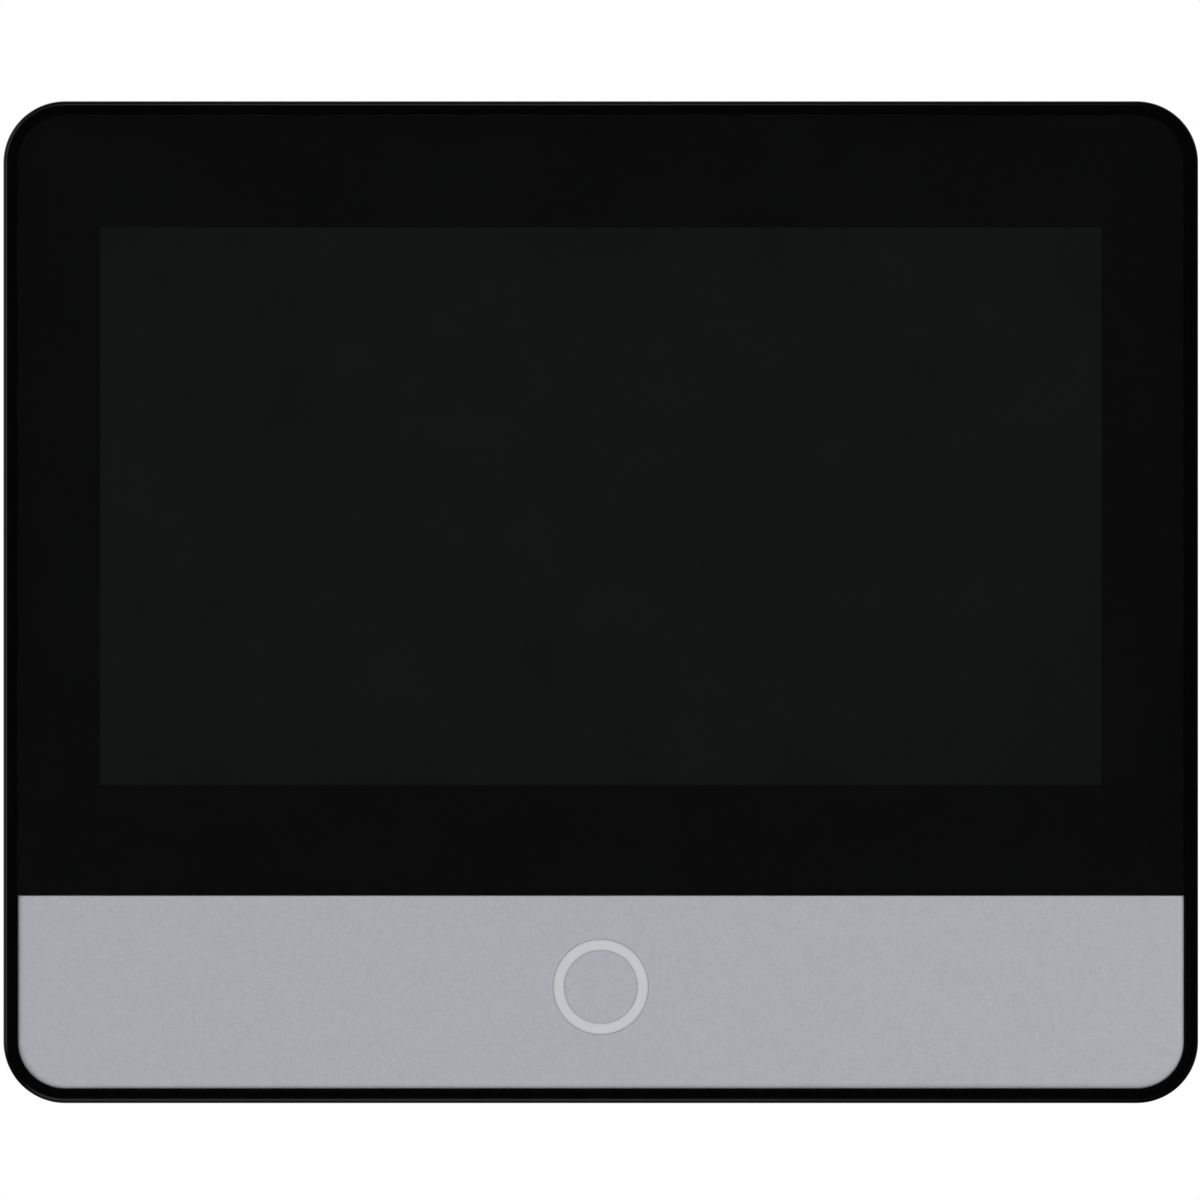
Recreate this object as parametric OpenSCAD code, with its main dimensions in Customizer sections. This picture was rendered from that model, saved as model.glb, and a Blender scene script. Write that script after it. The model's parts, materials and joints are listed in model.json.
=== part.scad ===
// Wall-mounted touch-screen keypad panel with a ring key, hung on a steel wall bracket.
// The model is drawn lying on its back: x runs right, y up the wall and z from the wall
// towards the user. stand() then turns it upright and puts the middle of the bracket's
// screw pattern at the origin.

/* [Panel] */
// Width of the whole panel
body_w = 184; // [180:1:230]
// Height of the whole panel
body_h = 154.3; // [150:0.1:200]
// Depth from the wall to the front of the glass
body_depth = 22; // [21.5:0.5:28]
// Radius of the outer corners
corner_r = 9.5; // [8.5:0.5:14]
// Width of the black rim that shows round the glass
rim_w = 2.2; // [1.9:0.1:3]
// How far the rim sits behind the front of the glass
rim_drop = 0.3; // [0:0.1:0.8]
// Rounding of the rim's outer front edge
rim_round = 0.8; // [0.3:0.1:1.2]

/* [Front] */
// Thickness of the cover glass
glass_t = 1.7; // [1.1:0.1:2.2]
// Rounding of the glass's and the fascia's front edge
front_round = 0.9; // [0.3:0.1:1]
// Height of the silver fascia under the glass
fascia_h = 29.8; // [24:0.1:34]
// Gap between the rim and what it frames
rim_gap = 0.15; // [0.1:0.05:0.3]
// Gap between the glass and the fascia
seam_gap = 0.1; // [0.05:0.05:0.3]

/* [Screen] */
// Width of the lit picture
screen_w = 154.2; // [125:0.1:155]
// Height of the lit picture
screen_h = 85.9; // [70:0.1:88]
// How far the middle of the picture is above the middle of the panel
screen_rise = 14.8; // [14:0.1:17]
// Dark border of the display at its left and right
lcd_side = 5.4; // [3:0.1:5.5]
// Dark border of the display at its top
lcd_top = 4.6; // [3:0.1:4.8]
// Dark border of the display at its bottom
lcd_bottom = 9.5; // [6:0.1:9.8]
// Thickness of the display's glass cell
cell_t = 1.4; // [0.8:0.1:1.6]
// Thickness of the backlight
backlight_t = 2.3; // [1.8:0.1:2.8]
// Thickness of the steel tray behind the display
tray_t = 0.8; // [0.5:0.1:1]

/* [Ring key] */
// Outer diameter of the light ring
ring_od = 14.7; // [12:0.1:18]
// Inner diameter of the light ring
ring_id = 11.2; // [8:0.1:11.6]
// How far the key's middle is above the fascia's lower edge
key_rise = 15.75; // [15:0.05:18]
// How far the key travels
key_travel = 0.5; // [0.3:0.1:0.6]
// Clearance round the key in the fascia
key_clearance = 0.1; // [0.06:0.02:0.2]

/* [Shell] */
// Wall thickness of the rear cover
shell_t = 2; // [1.6:0.1:2.4]
// Wall thickness of the front frame's skirt
skirt_t = 2.4; // [2:0.1:3]
// Thickness of the front frame's deck
deck_t = 1.6; // [1.2:0.1:1.8]
// Level of the front frame's rear edge above the wall
split_level = 9; // [8.6:0.1:9.4]
// Step from the skirt in to the rear cover
tub_inset = 3.5; // [3:0.1:4]
// How much further in the rear cover is at the wall
tub_taper = 2.5; // [1:0.1:2.5]
// Gap between the rear cover and the wall
wall_gap = 0.4; // [0.2:0.1:0.6]

/* [Wall bracket] */
// Width of the steel plate
bracket_w = 116; // [114:1:124]
// Height of the steel plate
bracket_h = 84; // [82:1:88]
// Thickness of the steel
bracket_t = 1.2; // [1:0.1:1.5]
// How far the middle of the bracket is above the middle of the panel
mount_rise = 14; // [13:0.5:15]
// Distance between the corner screw holes, left to right
holes_x = 104; // [102:1:106]
// Distance between the corner screw holes, top to bottom
holes_y = 72; // [70:1:74]
// Radius of the round screw holes
hole_r = 2.25; // [2:0.05:2.5]
// Distance between the screws of a round wall box
box_screws = 60; // [60:0.1:60.3]
// Half the width of the two slots for a wall box
slot_r = 2.1; // [1.8:0.05:2.2]
// Length of the two slots, end to end
slot_l = 9; // [7:0.5:10]
// Width of the cable window
window_w = 48; // [44:1:49]
// Height of the cable window
window_h = 40; // [36:1:42]
// Width of each hook
hook_w = 14; // [12:0.5:14.5]
// Height of each hook's tongue, which is how far the panel is lifted off
tongue_h = 5.5; // [4:0.1:6]

/* [Main board] */
// Width of the main board
board_w = 130; // [130:1:134]
// Height of the main board
board_h = 84; // [84:1:86]
// Thickness of the circuit boards
board_t = 1.6; // [1.2:0.1:1.6]
// Level of the main board's rear face above the wall
board_level = 11; // [11:0.1:11.2]

/* [Terminals] */
// Number of poles on the wiring plug
poles = 6; // [2:1:6]
// Distance from pole to pole
pitch = 3.81; // [3.5:0.01:3.81]
// How far the wiring plug slides to come off
plug_travel = 8; // [6:0.5:10]

/* [Speaker] */
// Radius of the loudspeaker
speaker_r = 15; // [12:0.1:15]
// How far the loudspeaker's middle is left of the panel's middle
speaker_x = 48; // [46:0.5:50]

/* [Hidden] */
$fn = 64;

// How far cuts run past a face, and how far joined shapes sink into each other
cut = 1;
eps = 0.01;

// Levels, measured from the wall towards the user
print_t = 0.1;
tape_t = 0.2;
gasket_t = 0.3;
print_front = body_depth - glass_t;
tape_front = print_front - print_t;
deck_front = tape_front - tape_t;
deck_back = deck_front - deck_t;
cell_front = deck_front - gasket_t;
backlight_front = cell_front - cell_t;
tray_front = backlight_front - backlight_t;
tray_back = tray_front - tray_t;
rim_front = body_depth - rim_drop;
screw_head_room = 3.2;
recess_level = bracket_t + screw_head_room;
floor_level = recess_level + shell_t;
land_floor = wall_gap + shell_t;
flange_level = split_level + shell_t;
board_front = board_level + board_t;

// Outlines
panel_w = body_w - 2*rim_w;
panel_h = body_h - 2*rim_w;
panel_r = corner_r - rim_w;
seam_y = fascia_h - panel_h/2;
lcd_w = screen_w + 2*lcd_side;
lcd_h = screen_h + lcd_top + lcd_bottom;
lcd_y = screen_rise + (lcd_top - lcd_bottom)/2;
lcd_foot = lcd_y - lcd_h/2;
lcd_gap = 0.3;
tub_w = body_w - 2*tub_inset;
tub_h = body_h - 2*tub_inset;
tub_r = corner_r - tub_inset;
tub_round = 1.5;
tub_foot_in = tub_taper*(1 - tub_round/(split_level - wall_gap));
tub_lip = tub_foot_in + tub_round + 0.4;

// Where the display's and the touch sensor's ribbons pass, left to right
lcd_ribbon_x = [-14, 4];
touch_ribbon_x = [-36, -22];
key_ribbon_x = [10, 20];
ribbon_room = 2.2;

// Wall bracket, its hooks, and the recess that takes them
bracket_r = 6;
bracket_foot = mount_rise - bracket_h/2;
bracket_head = mount_rise + bracket_h/2;
window_r = 3;
hook_x = 40;
hook_necks = [mount_rise + 28, mount_rise - 26];
tongue_gap = 0.3;
tongue_back = floor_level + tongue_gap;
lance_h = tongue_back - bracket_t + tongue_h;
lance_gap = 1;
lift = tongue_h + 0.5;
seat_gap = 0.2;
slot_gap = 0.5;
recess_gap = 1;
recess_w = bracket_w + 2*recess_gap;
recess_h = bracket_h + 2*recess_gap + lift + slot_gap;
recess_r = bracket_r + recess_gap;
recess_y = mount_rise - (lift + slot_gap)/2;

// Screws as [shank radius, head radius, head height], with their holes
housing_screw = [1.45, 2.7, 2];
board_screw = [0.9, 1.8, 1.3];
housing_pilot = 1.5;
housing_pass = 1.65;
board_pilot = 0.95;
board_pass = 1.1;
pilot_end = deck_front - 0.6;
screw_end = deck_front - 1;
housing_screw_x = body_w/2 - 14;
housing_screw_y = body_h/2 - 11;
pocket_r = 3;
pocket_wall = 1.2;
post_r = 2.4;
board_post_r = 2.8;
board_post_x = board_w/2 - 5;
board_post_y = board_h/2 - 4.5;
tray_screw_x = lcd_w/2 + 3.4;
tray_screw_y = [screen_rise + 35, screen_rise - 39];
key_screw_x = 25;

// The fascia's snap hooks, as [x, y]
clip_upper_y = seam_y - 7;
clip_lower_y = 5.3 - panel_h/2;
clips = [for (sx = [-1, 1], p = [[72, clip_upper_y], [38, clip_upper_y], [58, clip_lower_y]]) [sx*p[0], p[1]]];
clip_w = 4;
clip_t = 1.6;

// Ring key
key_y = key_rise - panel_h/2;
key_flange_r = ring_od/2 + 1.85;
key_flange_front = deck_front - 0.1;
key_flange_t = 1;
key_ledge_r = 3.2;
cap_t = 1.8;
cap_fit = 0.02;
cup_r = key_flange_r + 0.6;
cup_wall = 1;
switch_w = 6;
switch_h = 3.3;
switch_bore_h = switch_h - 1;
plunger_r = 1.7;
plunger_fit = 0.08;
key_board_t = 1.2;
key_board_front = deck_back - 4;
key_board_back = key_board_front - key_board_t;
key_board_w = 60;
switch_front = key_board_front + switch_h;
plunger_front = switch_front + key_travel + 0.2;
plunger_back = key_board_front + (switch_h - switch_bore_h) + key_travel + 0.3;

// Underside of the skirt, with the microphone and the reset button behind it
skirt_foot = -body_h/2;
skirt_inner = skirt_foot + skirt_t;
key_board_foot = skirt_inner + 2.75;
key_board_head = key_y + cup_r + cup_wall + 0.4;
mic_x = 22;
mic_level = deck_back - 3.3;
mic_r = 2.2;
boot_r = 3.1;
boot_l = 3.8;
reset_x = -22;
reset_r = 1.2;
reset_fit = 0.1;
reset_level = key_board_front + 1.2;
reset_travel = 0.3;
reset_collar_l = 0.8;
reset_pin_r = 0.7;
reset_switch_y = key_board_foot + 0.2;

// Tamper switch
tamper_x = 52;
tamper_y = mount_rise - 18;
tamper_r = 2;
tamper_gap = 0.3;
tamper_travel = 0.7;
tamper_tip = bracket_t + 0.2;
tamper_flange_r = 3.2;
tamper_flange_t = 0.8;
tamper_flange_back = floor_level + 0.1;
tamper_flange_front = tamper_flange_back + tamper_flange_t;
tamper_switch_t = 2.1;
tamper_switch_back = board_level - tamper_switch_t;
tamper_pin_r = 1;
tamper_pin_in = 0.7;

// Speaker and its clamp
speaker_y = speaker_r + 8.9 - body_h/2;
platform_level = wall_gap + 4;
grille_level = platform_level - 1.5;
speaker_gasket_t = 0.8;
speaker_back = platform_level + speaker_gasket_t;
basket_level = speaker_back + 1;
basket_h = 3.8;
clamp_level = basket_level + basket_h;
clamp_t = 1.4;
clamp_x = speaker_r + 4.4;
magnet_r = 8.1;
tab_level = basket_level + 1.8;
tab_t = 0.8;
sound_w = 16;

// Main board and what its lower edge carries
connector_y = mount_rise - board_h/2 + 2;
connector_h = 1.4;
ribbon_plug_level = board_front + 0.6;
lead_x = [-55, -53];
lead_r = 0.45;
battery_x = 46;
battery_y = 16;
battery_r = 10;
battery_back = board_level - 4.2;

// Wiring terminals in their bay
terminal_y = mount_rise + 6;
header_w = poles*pitch + 4;
header_l = 10;
header_back = 2.8;
header_wall = 1.6;
pin_w = 1;
plug_w = poles*pitch + 2;
plug_l = 10.9;
plug_gap = 0.1;
plug_foot = terminal_y - plug_gap - plug_l;
nose_l = 5;
nose_inset = 0.7;
nose = [4.2, 9.2];
nose_gap = 0.2;
pin_level = (nose[0] + nose[1])/2;
tail_y = terminal_y + header_l - 1.3;
pole_x = [for (i = [0 : poles - 1]) (i - (poles - 1)/2)*pitch];
plug_screw_y = plug_foot + 4;
wire_room = 9;
bay_w = 56;
bay_r = 2;
bay_wall = 1.6;
bay_foot = plug_foot - plug_travel - wire_room;
bay_head = terminal_y + header_l + 6;
bay_y = (bay_foot + bay_head)/2;
bay_h = bay_head - bay_foot;
bay_gap = 0.3;

// Rating label, left bare
label_w = 54;
label_h = 24;
label_x = 38;
label_y = speaker_y;
label_r = 1.5;
label_sunk = 0.2;

// Turns the lying model upright, with the screw pattern's middle at the origin.
module stand() {
    translate([0, 0, -mount_rise]) rotate([90, 0, 0]) children();
}

// Extrudes a flat shape from one level to another.
module layer(from, to) {
    translate([0, 0, from]) linear_extrude(to - from) children();
}

// A round bar from one level to another.
module peg(x, y, from, to, r) {
    translate([x, y, from]) cylinder(r = r, h = to - from);
}

// A round bar that runs up the panel, from one height to another.
module upright(x, level, from, to, r) {
    translate([x, to, level]) rotate([90, 0, 0]) cylinder(r = r, h = to - from);
}

// A box given by its ranges along x, y and z.
module block(x, y, z) {
    translate([x[0], y[0], z[0]]) cube([x[1] - x[0], y[1] - y[0], z[1] - z[0]]);
}

// The range that reaches half a width to each side of a middle.
function span(middle, width) = [middle - width/2, middle + width/2];

// A rectangle with round corners, centred.
module rounded(w, h, r) {
    square([w - 2*r, h], center = true);
    square([w, h - 2*r], center = true);
    for (sx = [-1, 1], sy = [-1, 1])
        translate([sx*(w/2 - r), sy*(h/2 - r)]) circle(r);
}

// Sweeps a profile round a rounded rectangle. The profile's x runs inwards from the outline
// and its y is the level.
module around(w, h, r) {
    for (turn = [0 : 3]) {
        along = turn % 2 == 0 ? h : w;
        across = turn % 2 == 0 ? w : h;
        rotate(turn*90) {
            translate([across/2, along/2 - r, 0])
                rotate([90, 0, 0]) linear_extrude(along - 2*r) mirror([1, 0]) children();
            translate([across/2 - r, along/2 - r, 0])
                rotate_extrude(angle = 90) translate([r, 0]) mirror([1, 0]) children();
        }
    }
}

// Points of an arc, from one angle to another.
function arc(x, y, r, from, to, steps = 6) =
    [for (i = [0 : steps]) let (a = from + (to - from)*i/steps) [x + r*cos(a), y + r*sin(a)]];

function unit(v) = v/norm(v);

// Direction of a path at point i.
function heading(path, i) =
    unit(path[min(i + 1, len(path) - 1)] - path[max(i - 1, 0)]);

// A solid tube along a path. Side is a direction that the path never runs along.
module tube(path, r, side, sides = 8) {
    n = len(path);
    rings = [for (i = [0 : n - 1])
        let (t = heading(path, i), u = unit(cross(t, side)), v = cross(t, u))
            for (k = [0 : sides - 1])
                let (a = 360*k/sides) path[i] + r*(cos(a)*u + sin(a)*v)];
    walls = [for (i = [0 : n - 2], k = [0 : sides - 1])
        let (next = (k + 1) % sides)
            [i*sides + k, i*sides + next, (i + 1)*sides + next, (i + 1)*sides + k]];
    caps = [[for (k = [sides - 1 : -1 : 0]) k], [for (k = [0 : sides - 1]) (n - 1)*sides + k]];
    polyhedron(rings, concat(walls, caps));
}

// Outline of a strip of even thickness along a bent line.
function strip(path, t) =
    let (
        n = len(path),
        mitre = function (i)
            let (
                a = unit(path[max(i, 1)] - path[max(i, 1) - 1]),
                b = unit(path[min(i, n - 2) + 1] - path[min(i, n - 2)]),
                m = unit([-a[1] - b[1], a[0] + b[0]])
            ) m/(m*[-a[1], a[0]]),
        left = [for (i = [0 : n - 1]) path[i] + mitre(i)*t/2],
        right = [for (i = [n - 1 : -1 : 0]) path[i] - mitre(i)*t/2]
    ) concat(left, right);

// A flat ribbon cable. Its path is a list of [y, level] and it reaches across x.
module ribbon(path, t, x) {
    translate([x[0], 0, 0])
        rotate([90, 0, 90]) linear_extrude(x[1] - x[0]) polygon(strip(path, t));
}

// A pan-head screw with a cross recess. It points towards the user from its seat.
module screw(x, y, seat, tip, size) {
    head_r = size[1];
    head_h = size[2];
    difference() {
        union() {
            peg(x, y, seat, tip, size[0]);
            translate([x, y, seat - head_h]) rotate_extrude() polygon([
                [0, 0], [head_r*0.7, 0], [head_r, head_h*0.45], [head_r, head_h], [0, head_h]]);
        }
        for (turn = [0, 90])
            translate([x, y, seat - head_h]) rotate(turn)
                block(span(0, head_r), span(0, head_r*0.26), [-eps, head_h*0.55]);
    }
}

// The same screw, pointing towards the wall.
module screw_back(x, y, seat, tip, size) {
    translate([x, y, seat]) mirror([0, 0, 1]) screw(0, 0, 0, seat - tip, size);
}

// ---- Wall bracket ----

// One hook, bent out of the plate, with its tongue upwards.
module hook(x, y) {
    tongue_front = tongue_back + bracket_t;
    block(span(x, hook_w), [y, y + bracket_t], [0, tongue_front]);
    block(span(x, hook_w), [y, y + bracket_t + tongue_h], [tongue_back, tongue_front]);
}

// A slot for the screws of a wall box.
module box_slot() {
    square([slot_l - 2*slot_r, 2*slot_r], center = true);
    for (sx = [-1, 1]) translate([sx*(slot_l/2 - slot_r), 0]) circle(slot_r);
}

module wall_bracket() {
    bead = [62, 3, 0.5];
    bead_in = 5;
    color("gainsboro") {
        difference() {
            union() {
                layer(0, bracket_t) translate([0, mount_rise]) rounded(bracket_w, bracket_h, bracket_r);
                for (y = [bracket_head - bead_in, bracket_foot + bead_in])
                    layer(0, bracket_t + bead[2]) translate([0, y]) rounded(bead[0], bead[1], bead[1]/2 - eps);
            }
            translate([0, mount_rise, 0]) {
                layer(-cut, bracket_t + cut) rounded(window_w, window_h, window_r);
                for (sx = [-1, 1]) {
                    for (sy = [-1, 1]) peg(sx*holes_x/2, sy*holes_y/2, -cut, bracket_t + cut, hole_r);
                    translate([sx*box_screws/2, 0, 0]) layer(-cut, bracket_t + cut) box_slot();
                }
                for (sy = [-1, 1]) peg(0, sy*box_screws/2, -cut, bracket_t + cut, hole_r);
            }
            for (sx = [-1, 1], y = hook_necks)
                block(span(sx*hook_x, hook_w + 2*lance_gap), [y - lance_h, y], [-cut, bracket_t + cut]);
        }
        for (sx = [-1, 1], y = hook_necks) hook(sx*hook_x, y);
    }
}

// ---- Rear cover ----

// The rear cover's outer form: a tapered tub with a round back edge.
module tub_form() {
    around(tub_w, tub_h, tub_r) polygon(concat(
        [[tub_lip, flange_level], [0, flange_level], [0, split_level]],
        arc(tub_foot_in + tub_round, wall_gap + tub_round, tub_round, 180, 270),
        [[tub_lip, wall_gap]]));
    layer(wall_gap, flange_level) rounded(tub_w - 2*tub_lip, tub_h - 2*tub_lip, tub_r - tub_lip);
}

module tub_cavity() {
    w = tub_w - 2*shell_t;
    h = tub_h - 2*shell_t;
    r = tub_r - shell_t;
    top = flange_level + cut;
    foot_in = tub_taper*(split_level - land_floor)/(split_level - wall_gap);
    lip = foot_in + 0.4;
    around(w, h, r) polygon([[lip, top], [0, top], [0, split_level], [foot_in, land_floor], [lip, land_floor]]);
    layer(land_floor, top) rounded(w - 2*lip, h - 2*lip, r - lip);
}

// The rim that closes the front frame's skirt.
module flange() {
    inset = skirt_t + rim_gap;
    layer(split_level, flange_level) difference() {
        rounded(body_w - 2*inset, body_h - 2*inset, corner_r - inset);
        rounded(tub_w - 2*shell_t, tub_h - 2*shell_t, tub_r - shell_t);
    }
}

// Everything inside the tub that stands up from its floor.
module tub_inside() {
    ring_h = 3;
    ring_gap = 0.3;
    translate([0, recess_y, 0]) layer(wall_gap + eps, floor_level)
        rounded(recess_w + 2*shell_t, recess_h + 2*shell_t, recess_r + shell_t);
    for (sx = [-1, 1], sy = [-1, 1]) {
        peg(sx*housing_screw_x, sy*housing_screw_y, land_floor - cut, flange_level, pocket_r + pocket_wall);
        peg(sx*board_post_x, mount_rise + sy*board_post_y, land_floor - cut, board_level, board_post_r);
    }
    translate([0, bay_y, 0]) layer(floor_level - cut, board_level - bay_gap)
        rounded(bay_w + 2*bay_wall, bay_h + 2*bay_wall, bay_r + bay_wall);
    translate([-speaker_x, speaker_y, 0]) {
        peg(0, 0, wall_gap + eps, platform_level, speaker_r + ring_gap + pocket_wall);
        block(span(0, sound_w + 2*shell_t), [tub_lip - tub_h/2 - speaker_y, 0],
            [wall_gap + eps, platform_level]);
        difference() {
            peg(0, 0, platform_level - cut, platform_level + ring_h, speaker_r + ring_gap + pocket_wall);
            peg(0, 0, platform_level, platform_level + ring_h + cut, speaker_r + ring_gap);
        }
        for (sx = [-1, 1]) peg(sx*clamp_x, 0, land_floor - cut, clamp_level, post_r);
    }
}

// The slots of the speaker's grille, cut to a circle.
module grille_slots() {
    slot = 1.6;
    step = 3.2;
    rows = 4;
    r = speaker_r - 3.4;
    intersection() {
        circle(r);
        for (i = [-rows : rows]) translate([0, i*step]) square([2*r, slot], center = true);
    }
}

// A row of air slots through the tub's top or bottom wall.
module vents(from, to, edge) {
    slot = 1.6;
    step = 5;
    wall_room = 6;
    for (x = [from : step : to])
        block(span(x, slot), span(edge, 2*wall_room), [land_floor + 0.8, split_level - 1.4]);
}

// What is cut out of the rear cover for the bracket, its hooks and the wiring.
module mounting_cuts() {
    translate([0, recess_y, 0]) layer(-cut, recess_level) rounded(recess_w, recess_h, recess_r);
    for (sx = [-1, 1], y = hook_necks)
        block(span(sx*hook_x, hook_w + 2*slot_gap), [y - lift - slot_gap, y + bracket_t + seat_gap],
            [recess_level - cut, floor_level + cut]);
    translate([0, bay_y, 0]) layer(recess_level - cut, board_level) rounded(bay_w, bay_h, bay_r);
    peg(tamper_x, tamper_y, recess_level - cut, floor_level + cut, tamper_r + tamper_gap);
}

// Screw pockets, and the pilot holes in the posts.
module rear_cover_holes() {
    for (sx = [-1, 1], sy = [-1, 1]) {
        peg(sx*housing_screw_x, sy*housing_screw_y, -cut, split_level, pocket_r);
        peg(sx*housing_screw_x, sy*housing_screw_y, split_level - cut, flange_level + cut, housing_pass);
        peg(sx*board_post_x, mount_rise + sy*board_post_y, floor_level, board_level + cut, board_pilot);
    }
    for (sx = [-1, 1])
        peg(sx*clamp_x - speaker_x, speaker_y, land_floor + 1, clamp_level + cut, board_pilot);
}

// The way out for the sound: a sunk pan behind the speaker that opens at the bottom edge.
module sound_cuts() {
    translate([-speaker_x, speaker_y, 0]) {
        peg(0, 0, -cut, grille_level, speaker_r - 1.5);
        block(span(0, sound_w), [-body_h/2 - speaker_y, 0], [-cut, grille_level]);
        layer(grille_level - cut, platform_level + cut) grille_slots();
    }
}

module rear_cover() {
    color("#1c1d1f") difference() {
        union() {
            difference() {
                union() {
                    tub_form();
                    flange();
                }
                tub_cavity();
            }
            tub_inside();
        }
        mounting_cuts();
        rear_cover_holes();
        sound_cuts();
        vents(-50, 50, tub_h/2 - shell_t);
        vents(10, 65, shell_t - tub_h/2);
        translate([label_x, label_y, 0]) layer(-cut, wall_gap + label_sunk) rounded(label_w, label_h, label_r);
    }
}

// ---- Front frame ----

// The window in the deck for the display, with room below for its ribbons.
module deck_window() {
    ribbons = [touch_ribbon_x[0] - 1, lcd_ribbon_x[1] + 1];
    translate([0, lcd_y]) square([lcd_w + 2*lcd_gap, lcd_h + 2*lcd_gap], center = true);
    translate([ribbons[0], lcd_foot - ribbon_room]) square([ribbons[1] - ribbons[0], ribbon_room + cut]);
}

// The skirt's profile, with a round front edge and a bevelled rear one.
function skirt_profile() =
    let (lip = rim_w - rim_gap, bevel = 0.2, rear_bevel = 0.4, low = deck_front - 0.5)
        concat(
            [[skirt_t, low], [lip, low], [lip, rim_front - bevel], [lip - bevel, rim_front]],
            arc(rim_round, rim_front - rim_round, rim_round, 90, 180),
            [[0, split_level + rear_bevel], [rear_bevel, split_level], [skirt_t, split_level]]);

module front_frame_posts() {
    housing_post_r = 3.2;
    tray_post_r = 2.2;
    post_gap = 0.15;
    for (sx = [-1, 1]) {
        for (sy = [-1, 1])
            peg(sx*housing_screw_x, sy*housing_screw_y, flange_level + post_gap, deck_back + eps,
                housing_post_r);
        for (y = tray_screw_y) peg(sx*tray_screw_x, y, tray_front, deck_back + eps, tray_post_r);
        peg(sx*key_screw_x, key_y, key_board_front, deck_back + eps, post_r);
    }
}

module front_frame_holes() {
    for (sx = [-1, 1]) {
        for (sy = [-1, 1])
            peg(sx*housing_screw_x, sy*housing_screw_y, flange_level, pilot_end, housing_pilot);
        for (y = tray_screw_y) peg(sx*tray_screw_x, y, tray_front - cut, pilot_end, board_pilot);
        peg(sx*key_screw_x, key_y, key_board_front - cut, pilot_end, board_pilot);
    }
    upright(mic_x, mic_level, skirt_foot - cut, skirt_inner + cut, 0.6);
    upright(reset_x, reset_level, skirt_foot - cut, skirt_inner + cut, reset_r + reset_fit);
}

module front_frame() {
    clip_gap = 0.2;
    color("#0c0c0d") difference() {
        union() {
            around(body_w, body_h, corner_r) polygon(skirt_profile());
            layer(deck_back, deck_front) rounded(body_w - skirt_t, body_h - skirt_t, corner_r - skirt_t/2);
            front_frame_posts();
        }
        layer(deck_back - cut, deck_front + cut) deck_window();
        peg(0, key_y, deck_back - cut, deck_front + cut, cup_r);
        for (p = clips)
            block(span(p[0], clip_w + 2*clip_gap), span(p[1], clip_t + 2*clip_gap),
                [deck_back - cut, deck_front + cut]);
        front_frame_holes();
    }
}

// ---- Glass, print and display ----

// The glass and the fascia together: one plate with a round front edge.
module front_plate(back) {
    lip = front_round + 1;
    around(panel_w, panel_h, panel_r) polygon(concat(
        [[lip, back], [lip, body_depth]],
        arc(front_round, body_depth - front_round, front_round, 90, 180),
        [[0, back]]));
    layer(back, body_depth) rounded(panel_w - 2*lip, panel_h - 2*lip, panel_r - lip);
}

// All of the panel above the seam, or below it.
module above_seam(inset = 0) {
    block(span(0, 2*body_w), [seam_y + seam_gap/2 + inset, body_h], [0, body_depth + cut]);
}

module below_seam() {
    block(span(0, 2*body_w), [-body_h, seam_y - seam_gap/2], [0, body_depth + cut]);
}

module cover_glass() {
    color("#15171a", 0.6) intersection() {
        front_plate(print_front);
        above_seam();
    }
}

// A flat layer under the glass, set in a little from its edge, with a window in it.
module under_glass(from, to, inset) {
    difference() {
        intersection() {
            layer(from, to) rounded(panel_w - 2*inset, panel_h - 2*inset, panel_r - inset);
            above_seam(inset);
        }
        layer(from - cut, to + cut) children();
    }
}

module glass_print() {
    color("#0a0a0b") under_glass(tape_front, print_front, 0.2)
        translate([0, screen_rise]) square([screen_w, screen_h], center = true);
}

module glass_tape() {
    color("#2b2b2b") under_glass(deck_front, tape_front, 0.6) deck_window();
}

module touch_sensor() {
    color("#161817") translate([0, lcd_y, 0])
        layer(deck_front, tape_front) square([lcd_w - 2*lcd_gap, lcd_h - 2*lcd_gap], center = true);
}

module touch_ribbon() {
    level = (deck_front + tape_front)/2;
    start = lcd_foot + lcd_gap;
    bend = lcd_foot - 1.6;
    low = board_front + 1.3;
    color("#b5702a") ribbon([
        [start, level], [bend, level], [bend, low],
        [connector_y - 2, low], [connector_y, ribbon_plug_level]], 0.14, touch_ribbon_x);
}

module lcd_gasket() {
    window_gap = 1.2;
    color("#1f1f1f") layer(cell_front, deck_front) difference() {
        translate([0, lcd_y]) square([lcd_w - 2*lcd_gap, lcd_h - 2*lcd_gap], center = true);
        translate([0, screen_rise]) square([screen_w + window_gap, screen_h + window_gap], center = true);
    }
}

module lcd_cell() {
    color("#101112") translate([0, lcd_y, 0])
        layer(backlight_front, cell_front) square([lcd_w, lcd_h], center = true);
}

module lcd_backlight() {
    color("white") translate([0, lcd_y, 0])
        layer(tray_front, backlight_front) rounded(lcd_w, lcd_h, 0.8);
}

module lcd_tray() {
    ear = [6.8, 8, 1.2];
    color("silver") layer(tray_back, tray_front) difference() {
        union() {
            translate([0, lcd_y]) rounded(lcd_w, lcd_h, 0.8);
            for (sx = [-1, 1], y = tray_screw_y)
                translate([sx*(tray_screw_x - 1), y]) rounded(ear[0], ear[1], ear[2]);
        }
        for (sx = [-1, 1], y = tray_screw_y) translate([sx*tray_screw_x, y]) circle(board_pass);
        for (x = [-2, -1, 1, 2]) translate([x*lcd_w/6, lcd_y]) circle(5);
    }
}

module lcd_ribbon() {
    level = backlight_front + cell_t/2;
    bend = lcd_foot - 1.3;
    low = board_front + 1.6;
    color("#b5702a") ribbon([
        [lcd_foot, level], [bend, level], [bend, low],
        [connector_y - 2, low], [connector_y, ribbon_plug_level]], 0.2, lcd_ribbon_x);
}

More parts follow.
